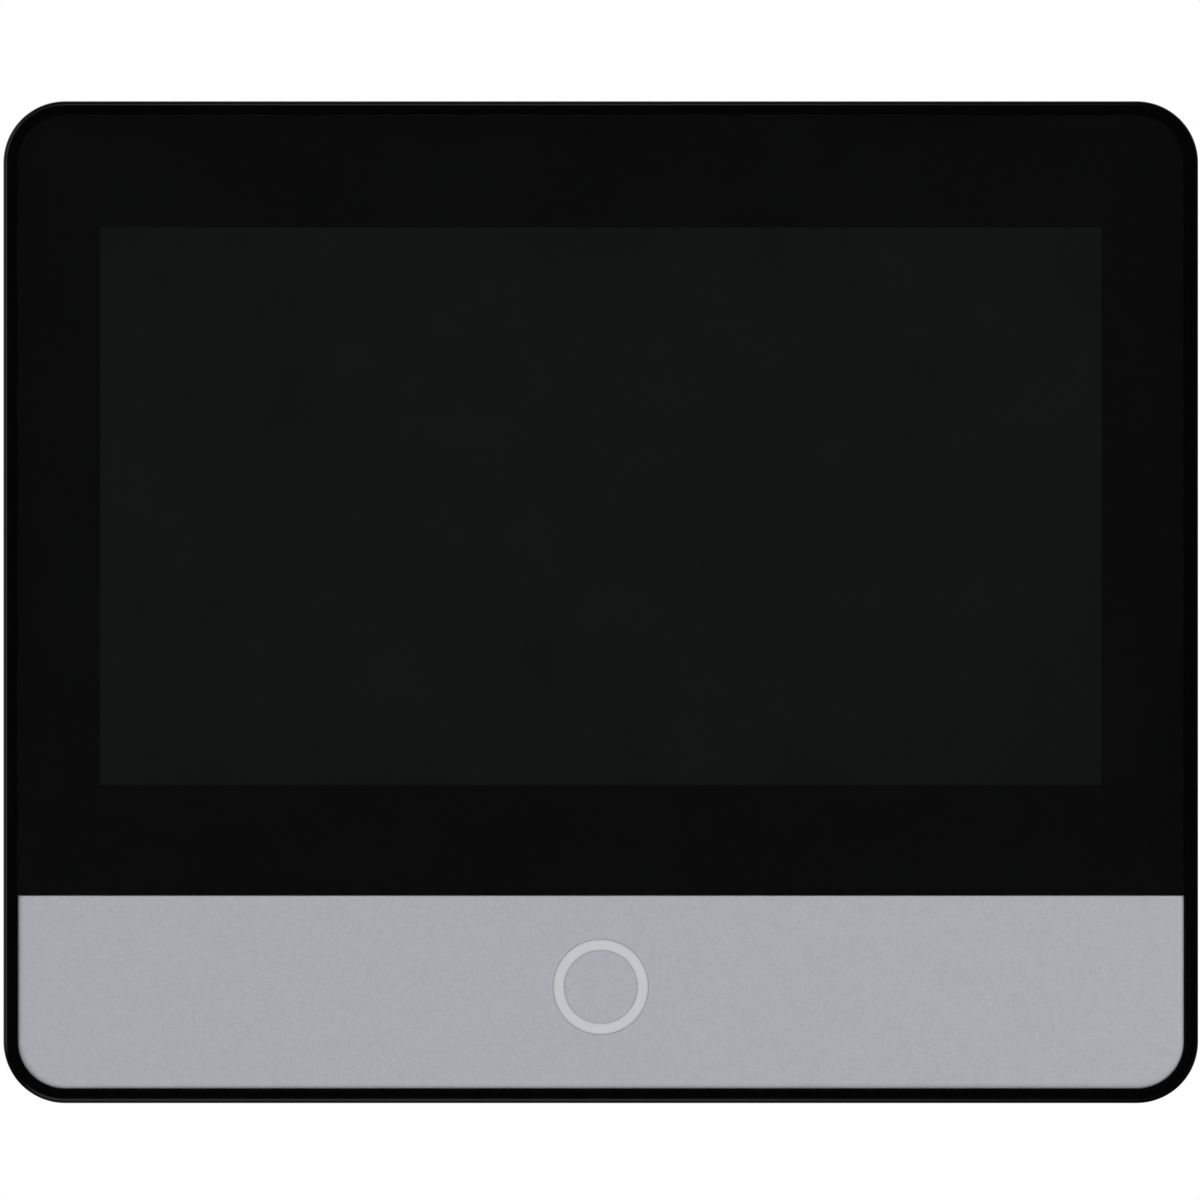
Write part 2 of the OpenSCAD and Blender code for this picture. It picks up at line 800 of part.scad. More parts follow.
module tray_screws() {
    color("silver") for (sx = [-1, 1], y = tray_screw_y)
        screw(sx*tray_screw_x, y, tray_back, screw_end, board_screw);
}

// ---- Main board ----

module main_board() {
    color("darkgreen") layer(board_level, board_front) difference() {
        translate([0, mount_rise]) rounded(board_w, board_h, 2);
        for (sx = [-1, 1], sy = [-1, 1])
            translate([sx*board_post_x, mount_rise + sy*board_post_y]) circle(board_pass);
        for (x = pole_x) translate([x, tail_y]) circle(pin_w*0.75);
    }
}

// The chips on the front of the board, as [x, y, width, height, thickness].
chips = [
    [24, 34, 14, 14, 1.1], [24, 19, 13, 9, 0.9], [39, 34, 9, 12, 0.9],
    [-6, 43, 8, 8, 0.9], [-24, 40, 7, 7, 0.9], [-24, 22, 6, 5, 1.4], [-44, 34, 6, 6, 2],
    [-44, 22, 6, 6, 2], [-6, 8, 6, 9, 1.2], [-30, 4, 5, 5, 0.9], [48, 2, 7, 7, 0.9]
];

module board_chips() {
    color("#202022") for (c = chips)
        block(span(c[0], c[2]), span(c[1], c[3]), [board_front, board_front + c[4]]);
}

module shield_can() {
    can = [34, 34, 2];
    sheet = 0.2;
    color("lightgray") translate([30, 28, board_front]) difference() {
        layer(0, can[2]) rounded(can[0], can[1], 1);
        layer(-cut, can[2] - sheet) rounded(can[0] - 2*sheet, can[1] - 2*sheet, 1 - sheet);
    }
}

module board_capacitors() {
    base = [6.6, 0.6];
    can = [3.15, 4.2];
    color("silver") for (p = [[-50, 4], [-50, 13], [-40, 4]]) translate([p[0], p[1], board_level]) {
        layer(-base[1], 0) square(base[0], center = true);
        peg(0, 0, -can[1], -base[1], can[0]);
    }
}

// A socket on the board's lower edge, open downwards.
module edge_socket(x, height) {
    wall = 0.8;
    depth = 2.9;
    difference() {
        block([x[0] - wall - 0.2, x[1] + wall + 0.2], [connector_y, connector_y + depth + wall],
            [board_front, board_front + height]);
        block([x[0] - 0.2, x[1] + 0.2], [connector_y - cut, connector_y + depth],
            [board_front + 0.3, board_front + height - 0.3]);
    }
}

module board_connectors() {
    color("ivory") {
        for (x = [touch_ribbon_x, lcd_ribbon_x, key_ribbon_x]) edge_socket(x, connector_h);
        edge_socket([lead_x[0] - 1.5, lead_x[1] + 1.5], 2);
    }
}

module board_screws() {
    color("silver") for (sx = [-1, 1], sy = [-1, 1])
        screw_back(sx*board_post_x, mount_rise + sy*board_post_y, board_front, floor_level + 0.4, board_screw);
}

module clock_battery() {
    color("silver") {
        peg(battery_x, battery_y, battery_back + 0.5, battery_back + 3.2, battery_r);
        peg(battery_x, battery_y, battery_back + 0.2, battery_back + 0.5 + eps, battery_r - 1.4);
    }
}

module battery_holder() {
    wall = 1.2;
    gap = 0.2;
    lug = [battery_r + 2.6, 3];
    color("#17181a") difference() {
        union() {
            peg(battery_x, battery_y, battery_back + 0.6, board_level, battery_r + gap + wall);
            block(span(battery_x, 2*lug[0]), span(battery_y, 2*lug[1]), [battery_back + 2, board_level]);
        }
        peg(battery_x, battery_y, battery_back - cut, battery_back + 3.2, battery_r + gap);
        block(span(battery_x, 8), [battery_y, battery_y + battery_r + 2*wall],
            [battery_back - cut, battery_back + 3.2]);
    }
}

// ---- Wiring terminals ----

// One bent pin, made larger by extra all round for its hole.
module pin_shape(x, extra = 0) {
    w = pin_w + 2*extra;
    block(span(x, w), [terminal_y + 1.5 - extra, tail_y + w/2], span(pin_level, w));
    peg(x, tail_y, pin_level, board_front + 0.4 + extra, w/2);
}

module terminal_header() {
    depth = header_l - 2.6;
    color("#2f8f4e") difference() {
        block(span(0, header_w), [terminal_y, terminal_y + header_l], [header_back, board_level]);
        block(span(0, header_w - 2*header_wall), [terminal_y - cut, terminal_y + depth],
            [nose[0] - nose_gap, nose[1] + nose_gap]);
        for (x = pole_x) pin_shape(x, 0.02);
    }
}

module header_pins() {
    color("silver") for (x = pole_x) pin_shape(x);
}

// Where a wire goes in, and the chamber its clamp sits in.
wire_w = 2.6;
wire_h = 2.8;
chamber_w = 3;
chamber_y = [plug_foot + 1.5, plug_foot + 6.5];
chamber_z = [pin_level - 0.4, pin_level + 3];
clamp_gap = 0.1;

module terminal_plug() {
    socket_w = pin_w + 0.8;
    color("#37a05a") difference() {
        union() {
            block(span(0, plug_w), [plug_foot, plug_foot + plug_l], [header_back - 0.2, board_level - 0.4]);
            block(span(0, plug_w - 2*nose_inset), [terminal_y - cut, terminal_y + nose_l], nose);
        }
        for (x = pole_x) {
            block(span(x, socket_w), [terminal_y - 3, terminal_y + nose_l + cut], span(pin_level, socket_w));
            peg(x, plug_screw_y, header_back - cut, pin_level, 1.55);
            block(span(x, wire_w), [plug_foot - cut, chamber_y[0] + 0.1], [pin_level, pin_level + wire_h]);
            block(span(x, chamber_w), chamber_y, chamber_z);
        }
    }
}

module plug_screws() {
    color("silver") for (x = pole_x) translate([x, plug_screw_y, 0]) difference() {
        peg(0, 0, header_back + 0.4, chamber_z[0] - clamp_gap, 1.5);
        block(span(0, 4), span(0, 0.5), [header_back - cut, header_back + 1.1]);
    }
}

module plug_clamps() {
    wall = 0.4;
    w = chamber_w - 2*clamp_gap;
    y = chamber_y + clamp_gap*[2, -2];
    z = chamber_z + clamp_gap*[1, -1];
    color("gold") for (x = pole_x) difference() {
        block(span(x, w), y, z);
        block(span(x, w - 2*wall), y + cut*[-1, 1], z + wall*[1, -1]);
    }
}

// ---- Tamper switch ----

module tamper_switch() {
    depth = tamper_pin_in + tamper_travel + 0.4;
    color("#17181a") difference() {
        block(span(tamper_x, 10), span(tamper_y, 7), [tamper_switch_back, board_level]);
        peg(tamper_x, tamper_y, tamper_switch_back - cut, tamper_switch_back + depth, tamper_pin_r + 0.15);
    }
}

module tamper_spring() {
    wire = 0.17;
    turns = 3;
    steps = 16;
    r = tamper_r + 0.1;
    low = tamper_flange_front + wire + 0.02;
    high = tamper_switch_back - wire - 0.02;
    path = [for (i = [0 : turns*steps])
        let (a = i*360/steps) [r*cos(a), r*sin(a), low + (high - low)*i/(turns*steps)]];
    color("silver") translate([tamper_x, tamper_y, 0]) tube(path, wire, [0, 0, 1]);
}

module tamper_plunger() {
    color("whitesmoke") {
        peg(tamper_x, tamper_y, tamper_tip, tamper_flange_back + eps, tamper_r);
        peg(tamper_x, tamper_y, tamper_flange_back, tamper_flange_front, tamper_flange_r);
        peg(tamper_x, tamper_y, tamper_flange_front - eps, tamper_switch_back + tamper_pin_in, tamper_pin_r);
    }
}

// ---- Fascia and ring key ----

// One snap hook, which reaches through the deck and catches behind it.
module clip(p) {
    barb = 0.8;
    back = deck_back - 0.9;
    block(span(p[0], clip_w), span(p[1], clip_t), [back, deck_front + eps]);
    block(span(p[0], clip_w), [p[1] - clip_t/2 - barb, p[1]], [back, deck_back - 0.1]);
}

module fascia() {
    color("#a9aaaf") {
        difference() {
            intersection() {
                front_plate(deck_front);
                below_seam();
            }
            peg(0, key_y, deck_front - cut, body_depth + cut, ring_od/2 + key_clearance);
        }
        for (p = clips) clip(p);
    }
}

module key_cap() {
    cap_back = body_depth - cap_t;
    color("#a9aaaf") {
        peg(0, key_y, cap_back, body_depth, ring_id/2 - cap_fit);
        peg(0, key_y, plunger_front, cap_back + eps, 2);
    }
}

module light_ring() {
    back = key_flange_front - key_flange_t;
    cap_back = body_depth - cap_t;
    color("whitesmoke") translate([0, key_y, 0]) rotate_extrude() polygon([
        [key_ledge_r, back], [key_flange_r, back], [key_flange_r, key_flange_front],
        [ring_od/2, key_flange_front], [ring_od/2, body_depth], [ring_id/2, body_depth],
        [ring_id/2, cap_back], [key_ledge_r, cap_back]]);
}

module key_plunger() {
    color("black") peg(0, key_y, plunger_back, plunger_front, plunger_r);
}

module key_switch() {
    color("#2a2a2c") difference() {
        translate([0, key_y, 0]) layer(key_board_front, switch_front) rounded(switch_w, switch_w, 0.5);
        peg(0, key_y, switch_front - switch_bore_h, switch_front + cut, plunger_r + plunger_fit);
    }
}

module light_cup() {
    color("white") translate([0, key_y, 0]) layer(key_board_front, deck_back) difference() {
        circle(cup_r + cup_wall);
        circle(cup_r);
    }
}

module key_board() {
    notch_w = 2*boot_r + 0.8;
    notch_head = skirt_inner + boot_l + 0.6;
    color("darkgreen") layer(key_board_back, key_board_front) difference() {
        translate([0, (key_board_head + key_board_foot)/2])
            rounded(key_board_w, key_board_head - key_board_foot, 1.5);
        for (sx = [-1, 1]) translate([sx*key_screw_x, key_y]) circle(board_pass);
        translate([mic_x - notch_w/2, key_board_foot - cut])
            square([notch_w, notch_head - key_board_foot + cut]);
    }
}

module ring_leds() {
    led = [2, 0.8];
    color("lightyellow") translate([0, key_y, key_board_front]) for (turn = [0 : 60 : 359])
        rotate(turn) translate([ring_od/2 - 0.7, 0, 0]) layer(0, led[1]) square(led[0], center = true);
}

module key_connector() {
    wall = 0.8;
    color("ivory") difference() {
        block([key_ribbon_x[0] - wall - 0.2, key_ribbon_x[1] + wall + 0.2],
            [key_board_head - 4, key_board_head - 0.6], [key_board_back - connector_h, key_board_back]);
        block([key_ribbon_x[0] - 0.2, key_ribbon_x[1] + 0.2],
            [key_board_head - 2, key_board_head], [key_board_back - connector_h + 0.4, key_board_back - 0.4]);
    }
}

module key_ribbon() {
    level = key_board_back - connector_h/2;
    color("whitesmoke") ribbon([
        [key_board_head - 1.6, level], [key_board_head + 4, level],
        [connector_y - 6, ribbon_plug_level], [connector_y, ribbon_plug_level]], 0.2, key_ribbon_x);
}

module key_board_screws() {
    color("silver") for (sx = [-1, 1])
        screw(sx*key_screw_x, key_y, key_board_back, screw_end, board_screw);
}

// ---- Reset button and microphone ----

module reset_switch() {
    y = [reset_switch_y, reset_switch_y + 2.6];
    depth = 0.3 + reset_travel + 0.6;
    color("#2a2a2c") difference() {
        block(span(reset_x, 4.4), y, [key_board_front, key_board_front + 2.4]);
        upright(reset_x, reset_level, y[0] - cut, y[0] + depth, reset_pin_r + 0.1);
    }
}

module reset_button() {
    collar = skirt_inner + 0.1;
    color("#6b6c70") {
        upright(reset_x, reset_level, skirt_foot + 0.4, collar + eps, reset_r);
        upright(reset_x, reset_level, collar, collar + reset_collar_l, reset_r + 0.7);
        upright(reset_x, reset_level, collar + reset_collar_l - eps, reset_switch_y + 0.3, reset_pin_r);
    }
}

module microphone() {
    color("silver") upright(mic_x, mic_level, skirt_inner + 1.75, skirt_inner + boot_l + 0.1, mic_r);
}

module microphone_boot() {
    color("#303030") difference() {
        upright(mic_x, mic_level, skirt_inner, skirt_inner + boot_l, boot_r);
        upright(mic_x, mic_level, skirt_inner - cut, skirt_inner + boot_l, 0.8);
        upright(mic_x, mic_level, skirt_inner + 1.7, skirt_inner + boot_l + cut, mic_r + 0.05);
    }
}

// ---- Speaker ----

module at_speaker() {
    translate([-speaker_x, speaker_y, 0]) children();
}

// The basket, with the tab that its leads are soldered to.
module speaker_frame() {
    r = speaker_r;
    seat_r = magnet_r + 0.1;
    color("#3a3b3e") at_speaker() {
        rotate_extrude() polygon([
            [r - 2.2, speaker_back], [r, speaker_back], [r, basket_level], [r - 1.4, basket_level],
            [r - 3, clamp_level], [seat_r, clamp_level], [seat_r, clamp_level - 0.8],
            [r - 3.6, clamp_level - 0.8], [r - 2.2, basket_level]]);
        block([lead_x[0] + speaker_x - 2, lead_x[1] + speaker_x + 2], [r - 4.6, r - 0.8],
            [tab_level, tab_level + tab_t]);
    }
}

module speaker_cone() {
    r = speaker_r - 2.3;
    t = 0.3;
    edge = basket_level - t;
    color("#25262a") at_speaker() rotate_extrude() polygon([
        [0, edge + 1.1], [4, edge + 2.2], [r - 2, edge], [r, edge],
        [r, edge + t], [r - 2, edge + t], [4, edge + 2.2 + t], [0, edge + 1.1 + t]]);
}

module speaker_magnet() {
    color("gray") at_speaker() {
        peg(0, 0, clamp_level - 0.8, clamp_level + 2.2, magnet_r);
        peg(0, 0, clamp_level + 2.2 - eps, clamp_level + 3, magnet_r - 1.3);
    }
}

module speaker_gasket() {
    color("#1f1f1f") at_speaker() layer(platform_level, speaker_back) difference() {
        circle(speaker_r);
        circle(speaker_r - 2.4);
    }
}

module speaker_clamp() {
    color("#1c1d1f") at_speaker() layer(clamp_level, clamp_level + clamp_t) difference() {
        union() {
            circle(speaker_r - 3.4);
            square([2*clamp_x, 2*post_r], center = true);
            for (sx = [-1, 1]) translate([sx*clamp_x, 0]) circle(post_r);
        }
        circle(magnet_r + 0.3);
        for (sx = [-1, 1]) translate([sx*clamp_x, 0]) circle(board_pass);
    }
}

module clamp_screws() {
    color("silver") for (sx = [-1, 1])
        screw_back(sx*clamp_x - speaker_x, speaker_y, clamp_level + clamp_t, land_floor + 1.4, board_screw);
}

module speaker_leads() {
    solder_y = speaker_y + speaker_r - 2.4;
    solder_level = tab_level + tab_t + lead_r + 0.02;
    for (i = [0, 1])
        color(i == 0 ? "firebrick" : "black") tube([
            [lead_x[i], solder_y, solder_level],
            [lead_x[i], solder_y + 3, solder_level],
            [lead_x[i], solder_y + 5, solder_level + 0.6],
            [lead_x[i], connector_y - 5, board_front + 0.4],
            [lead_x[i], connector_y - 3, board_front + 1],
            [lead_x[i], connector_y + 2, board_front + 1]], lead_r, [1, 0, 0]);
}

// ---- Housing screws and label ----

module housing_screws() {
    color("#3c3d40") for (sx = [-1, 1], sy = [-1, 1])
        screw(sx*housing_screw_x, sy*housing_screw_y, split_level, screw_end, housing_screw);
}

module rating_label() {
    gap = 0.3;
    color("#c9cacc") translate([label_x, label_y, 0]) layer(wall_gap + label_sunk - 0.15, wall_gap + label_sunk)
        rounded(label_w - 2*gap, label_h - 2*gap, label_r - gap);
}

stand() {
    wall_bracket();
    rear_cover();
    front_frame();
    cover_glass();
    glass_print();
    glass_tape();
    touch_sensor();
    touch_ribbon();
    lcd_gasket();
    lcd_cell();
    lcd_backlight();
    lcd_tray();
    lcd_ribbon();
    tray_screws();
    main_board();
    board_chips();
    shield_can();
    board_capacitors();
    board_connectors();
    board_screws();
    clock_battery();
    battery_holder();
    terminal_header();
    header_pins();
    terminal_plug();
    plug_screws();
    plug_clamps();
    tamper_switch();
    tamper_spring();
    tamper_plunger();
    fascia();
    key_cap();
    light_ring();
    key_plunger();
    light_cup();
    key_board();
    key_switch();
    ring_leds();
    key_connector();
    key_ribbon();
    key_board_screws();
    reset_switch();
    reset_button();
    microphone();
    microphone_boot();
    speaker_frame();
    speaker_cone();
    speaker_magnet();
    speaker_gasket();
    speaker_clamp();
    clamp_screws();
    speaker_leads();
    housing_screws();
    rating_label();
}
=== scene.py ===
import json
import math

import bmesh
import bpy
from mathutils import Matrix, Vector

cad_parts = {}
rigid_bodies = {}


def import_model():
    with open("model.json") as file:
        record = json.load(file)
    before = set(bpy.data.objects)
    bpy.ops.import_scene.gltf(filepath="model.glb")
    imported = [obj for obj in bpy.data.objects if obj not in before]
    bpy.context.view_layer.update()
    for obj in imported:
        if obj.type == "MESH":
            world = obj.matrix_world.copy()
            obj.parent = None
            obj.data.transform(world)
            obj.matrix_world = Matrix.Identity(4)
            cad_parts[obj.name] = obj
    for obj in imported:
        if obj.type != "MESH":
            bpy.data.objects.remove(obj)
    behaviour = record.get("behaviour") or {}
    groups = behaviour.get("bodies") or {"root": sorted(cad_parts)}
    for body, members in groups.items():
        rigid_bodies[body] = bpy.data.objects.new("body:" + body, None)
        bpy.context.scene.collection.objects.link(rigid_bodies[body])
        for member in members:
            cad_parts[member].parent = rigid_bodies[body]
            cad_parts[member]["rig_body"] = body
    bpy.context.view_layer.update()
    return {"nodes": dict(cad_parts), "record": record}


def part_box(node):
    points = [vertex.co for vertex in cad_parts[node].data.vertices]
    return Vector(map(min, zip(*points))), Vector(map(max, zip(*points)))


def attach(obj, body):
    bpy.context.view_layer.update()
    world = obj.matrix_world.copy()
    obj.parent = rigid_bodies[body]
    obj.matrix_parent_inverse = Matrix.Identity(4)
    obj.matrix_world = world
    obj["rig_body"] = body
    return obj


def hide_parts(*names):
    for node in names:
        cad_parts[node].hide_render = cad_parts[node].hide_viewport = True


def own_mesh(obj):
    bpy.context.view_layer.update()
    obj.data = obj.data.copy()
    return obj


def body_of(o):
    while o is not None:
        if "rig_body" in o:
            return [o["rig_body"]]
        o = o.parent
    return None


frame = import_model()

MM = 0.001
scene = bpy.context.scene

# ---- Sizes, in mm in the row frame: x right, y into the wall, z up ----


def box_mm(node):
    """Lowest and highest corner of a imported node, in mm."""
    low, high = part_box(node)
    return low / MM, high / MM


body_low, body_high = box_mm("front_frame")
tub_low, tub_high = box_mm("rear_cover")
glass_low, glass_high = box_mm("cover_glass")
band_low, band_high = box_mm("fascia")
ring_low, ring_high = box_mm("light_ring")
cap_back = box_mm("key_cap")[1].y
plate_low, plate_high = box_mm("wall_bracket")
label_low, label_high = box_mm("rating_label")
speaker_low, speaker_high = box_mm("speaker_frame")

# Outlines: the body with its rim and skirt, and the panel of glass and band inside the rim.
CORNER_STEPS = 24
BODY_W = body_high.x - body_low.x
BODY_H = body_high.z - body_low.z
BODY_Z = (body_high.z + body_low.z) / 2
BODY_R = 9.5
SKIRT_T = 2.4
FRONT = glass_low.y
RIM_FRONT = body_low.y
SPLIT = body_high.y
RIM_W = glass_low.x - body_low.x
PANEL_W = glass_high.x - glass_low.x
PANEL_H = glass_high.z - band_low.z
PANEL_R = BODY_R - RIM_W
SEAM_Z = (glass_low.z + band_high.z) / 2
SEAM_GAP = 0.1

# Planes of the layers behind the panel.
DECK_FRONT = -20.0
DECK_BACK = -18.4
TRAY_FRONT = -16.0
KEY_BOARD_FRONT = -14.4
RESET_Y = -15.6
MIC_Y = -15.1

# The ring key and its hole.
KEY_Z = (ring_low.z + ring_high.z) / 2
RING_R = 7.35
CAP_R = 5.58
KEY_HOLE_R = RING_R + 0.03
KEY_WELL_R = 9.8
HOLE_EDGE = 0.015
KEY_EDGE = 0.02
ROUND_STEPS = 128

# Rounded edges of band and glass, and the ink and display behind the glass.
BAND_EDGE_R = 1.15
GLASS_EDGE_R = 0.03
INK_GAP = 0.01
INK_THICK = 0.02
SCREEN_W = 154.2
SCREEN_H = 85.9
SCREEN_Z = 0.8

# Places of hooks, screws and posts, as (x, z).
PILOT_R = 0.95
SIDES = (-1, 1)
BAND_HOOKS = [(side * x, z) for side in SIDES
              for x, z in ((72, SEAM_Z - 7), (38, SEAM_Z - 7), (58, BODY_Z - BODY_H / 2 + 7.5))]
CORNER_SCREWS = [(side * 78, z) for side in SIDES for z in (52.15, -80.15)]
TRAY_POSTS = [(side * 85.9, z) for side in SIDES for z in (35.8, -38.2)]
KEY_POSTS = [(side * 25, KEY_Z) for side in SIDES]
BOARD_POSTS = [(side * 60, up * 37.5) for side in SIDES for up in SIDES]
SPEAKER = ((speaker_low.x + speaker_high.x) / 2, -67.25)
LABEL = ((label_low.x + label_high.x) / 2, (label_low.z + label_high.z) / 2)
CLAMP_POSTS = [(SPEAKER[0] + side * 19.4, SPEAKER[1]) for side in SIDES]
TAMPER = (52.0, -18.0)

# The rear cover, and the wall bracket in its recess.
RECESS_Z = -3.25
NECKS = (28.0, -26.0)
HOOK_X = 40
HOOK_HALF = 7
COVER_RIM_Y = -9.0
COVER_R = 6.0
PLATE_T = 1.2

# ---- Materials ----


def linear(code):
    """An sRGB hex colour as linear RGBA."""
    channels = [int(code[i:i + 2], 16) / 255 for i in (1, 3, 5)]
    return [c / 12.92 if c <= 0.04045 else ((c + 0.055) / 1.055) ** 2.4 for c in channels] + [1.0]


def add(tree, kind, inputs=None, **settings):
    """Adds a node with its settings. An input gets a value, a socket, or a node's first output.

    A kind that doesn't name its family is a shader node.
    """
    node = tree.nodes.new(kind if "Node" in kind else "ShaderNode" + kind)
    for name, value in settings.items():
        setattr(node, name, value)
    for key, value in (inputs or {}).items():
        if isinstance(value, bpy.types.Node):
            value = value.outputs[0]
        if isinstance(value, bpy.types.NodeSocket):
            tree.links.new(value, node.inputs[key])
        else:
            node.inputs[key].default_value = value
    return node


def blank(made):
    """The emptied node tree of a new material or world."""
    made.use_nodes = True
    made.node_tree.nodes.clear()
    return made.node_tree


CELLS = "TexVoronoi"
LINES = "TexWave"
# A wave texture of scale 1 repeats after this distance.
WAVE_REPEAT = 0.314
materials = {}


def surface(slot, name, colours, rough, grain, relief=0.0, kind="TexNoise", stretch=(1, 1, 1),
            pattern=None, read=None, sockets=None, settings=None):
    """A material whose colour, roughness and relief follow one pattern.

    Colours are two sRGB hex values and rough two roughnesses. Grain is the pattern's size and
    relief its depth, both in mm. Stretch makes the grain longer along an axis.
    """
    made = bpy.data.materials.new(name)
    tree = blank(made)
    place = add(tree, "TexCoord").outputs["Object"]
    scale = [1 / (grain * MM * s) for s in stretch]
    mapping = add(tree, "Mapping", {"Vector": place, "Scale": scale})
    inputs = {"Vector": mapping, "Scale": 1.0}
    inputs.update(pattern or {})
    grains = add(tree, kind, inputs, **(settings or {}))
    fac = grains.outputs[read or ("Distance" if kind == CELLS else "Fac")]
    tint = add(tree, "Mix", {0: fac, 6: linear(colours[0]), 7: linear(colours[1])},
               data_type="RGBA")
    dull = add(tree, "MapRange", {"Value": fac, "To Min": rough[0], "To Max": rough[1]})
    shader_inputs = {"Base Color": tint.outputs[2], "Roughness": dull}
    if relief:
        bump = add(tree, "Bump", {"Height": fac, "Distance": relief * MM, "Strength": 1.0})
        shader_inputs["Normal"] = bump
    shader_inputs.update(sockets or {})
    shader = add(tree, "BsdfPrincipled", shader_inputs)
    add(tree, "OutputMaterial", {"Surface": shader})
    materials[slot] = made


METAL = {"Metallic": 1.0}

# Hot-dip galvanised sheet: large flat spangles that each catch the light a little differently.
surface("galvanised_steel", "galvanised_steel_sheet", ("#A9ADB1", "#C6C9CB"), (0.30, 0.46), 6.0,
        kind=CELLS, read="Color", sockets=METAL)
# Moulded ABS with a spark-eroded grain: a dry black that scatters light in fine specks.
surface("rear_abs", "spark_grained_abs", ("#17181A", "#232427"), (0.48, 0.62), 0.45, 0.03,
        pattern={"Detail": 3.0}, sockets={"IOR": 1.53})
# Polished ABS: a deep black with a very faint orange peel from the mould.
surface("rim_abs", "polished_black_abs", ("#010102", "#030303"), (0.11, 0.15), 3.0, 0.0006,
        sockets={"IOR": 1.53})
# Soda-lime cover glass, ground and polished: clear, with the least trace of uneven polish.
surface("cover_glass", "polished_cover_glass", ("#F1F4F3", "#F4F6F6"), (0.0, 0.012), 14.0,
        sockets={"IOR": 1.52, "Transmission Weight": 1.0})

# Black ceramic ink, screen printed on the back of the glass: it wets the glass, so it has no own shine.
surface("black_print", "screen_printed_ink", ("#1C1C1C", "#1F1F1F"), (0.62, 0.74), 0.3,
        sockets={"Specular IOR Level": 0.0})
# Black acrylic foam tape: a soft fine grain.
surface("black_tape", "acrylic_foam_tape", ("#101010", "#1A1A1A"), (0.75, 0.9), 0.4, 0.02)
# Touch film with its polariser, bonded behind the glass: a grey-black, a little lighter than the ink.
surface("touch_film", "polariser_film", ("#303232", "#343636"), (0.38, 0.44), 9.0,
        sockets={"Specular IOR Level": 0.0})
# Polyimide flex: amber, with copper tracks that run along the ribbon.
surface("copper_flex", "polyimide_flex", ("#8E5418", "#C98B3F"), (0.25, 0.4), 1.0, 0.01, kind=LINES,
        settings={"bands_direction": "X"}, pattern={"Distortion": 0.0})
# Open-cell foam: dull, with small pits.
surface("foam", "black_foam", ("#101010", "#2A2A2A"), (0.85, 0.98), 0.5, 0.08, kind=CELLS)
# Display cell: dark polarised glass.
surface("display_glass", "display_cell_glass", ("#0F1011", "#131415"), (0.2, 0.26), 8.0, sockets={"IOR": 1.5})
# Diffuser sheets of the backlight: white, with the fine ribs of the prism film.
surface("backlight", "prism_film", ("#D9DAD6", "#ECEDE9"), (0.3, 0.5), 0.5, 0.02, kind=LINES,
        settings={"bands_direction": "Z"})
# Rolled steel sheet: long faint streaks along the rolling direction.
surface("tray_steel", "rolled_steel_sheet", ("#9EA1A4", "#BCBFC1"), (0.28, 0.42), 0.25, 0.003,
        stretch=(40, 1, 1), sockets=METAL)
# Zinc-plated steel: bright, faintly blue, with fine tool marks.
surface("screw_zinc", "zinc_plated_steel", ("#A7ADB4", "#C2C7CC"), (0.22, 0.36), 0.35, 0.004, sockets=METAL)
# Black-passivated steel: dark metal with a dull bloom.
surface("screw_black", "black_zinc_steel", ("#26272A", "#35373A"), (0.38, 0.52), 0.4, 0.004, sockets=METAL)
# Moulding compound of a chip: a dead flat near-black with a fine grit.
surface("chip_epoxy", "chip_mould_compound", ("#161617", "#242426"), (0.6, 0.75), 0.2, 0.01)
# Tinned steel can: smooth and softly bright.
surface("tinned_steel", "tinned_steel_can", ("#B5B6B6", "#C9CACA"), (0.26, 0.36), 1.6, 0.002, sockets=METAL)
# Aluminium can of a capacitor: drawn, with faint upright streaks.
surface("capacitor_can", "drawn_aluminium_can", ("#B7B8BA", "#CDCED0"), (0.25, 0.38), 0.2, 0.003,
        stretch=(1, 20, 1), sockets=METAL)
# Ivory nylon of board sockets: slightly waxy.
surface("connector_ivory", "ivory_nylon", ("#D9D2BC", "#E6E0CD"), (0.42, 0.55), 0.8, 0.004)
# Nickel-plated steel of a coin cell.
surface("battery_steel", "nickel_plated_steel", ("#B3B1AC", "#C8C6C1"), (0.16, 0.26), 0.9, 0.002,
        sockets=METAL)
# Glass-filled black nylon: matt, with short pale fibres near the skin.
surface("black_nylon", "glass_filled_nylon", ("#141416", "#26272A"), (0.45, 0.62), 0.35, 0.012,
        stretch=(3, 1, 1))
# Green polyamide of wiring terminals: satin, slightly cloudy.
surface("terminal_green", "green_polyamide", ("#1F7A42", "#2C8D50"), (0.36, 0.5), 0.7, 0.006)
# Tin-plated pins.
surface("pin_tin", "tin_plated_brass", ("#BDBDB9", "#D2D2CE"), (0.2, 0.32), 0.5, 0.002, sockets=METAL)
# Brass wire clamps.
surface("clamp_brass", "stamped_brass", ("#B8924A", "#D0AB62"), (0.24, 0.38), 0.4, 0.003, sockets=METAL)
# Drawn spring wire: bright with fine drawing lines.
surface("spring_steel", "drawn_spring_wire", ("#9FA2A6", "#BFC2C5"), (0.2, 0.32), 0.15, 0.002, sockets=METAL)
# White acetal: smooth, waxy, faintly translucent.
surface("white_acetal", "white_acetal", ("#DCDCD7", "#E8E8E3"), (0.34, 0.46), 1.2, 0.003,
        sockets={"Subsurface Weight": 0.15, "Subsurface Scale": 0.5 * MM, "Subsurface Radius": (1, 1, 1)})
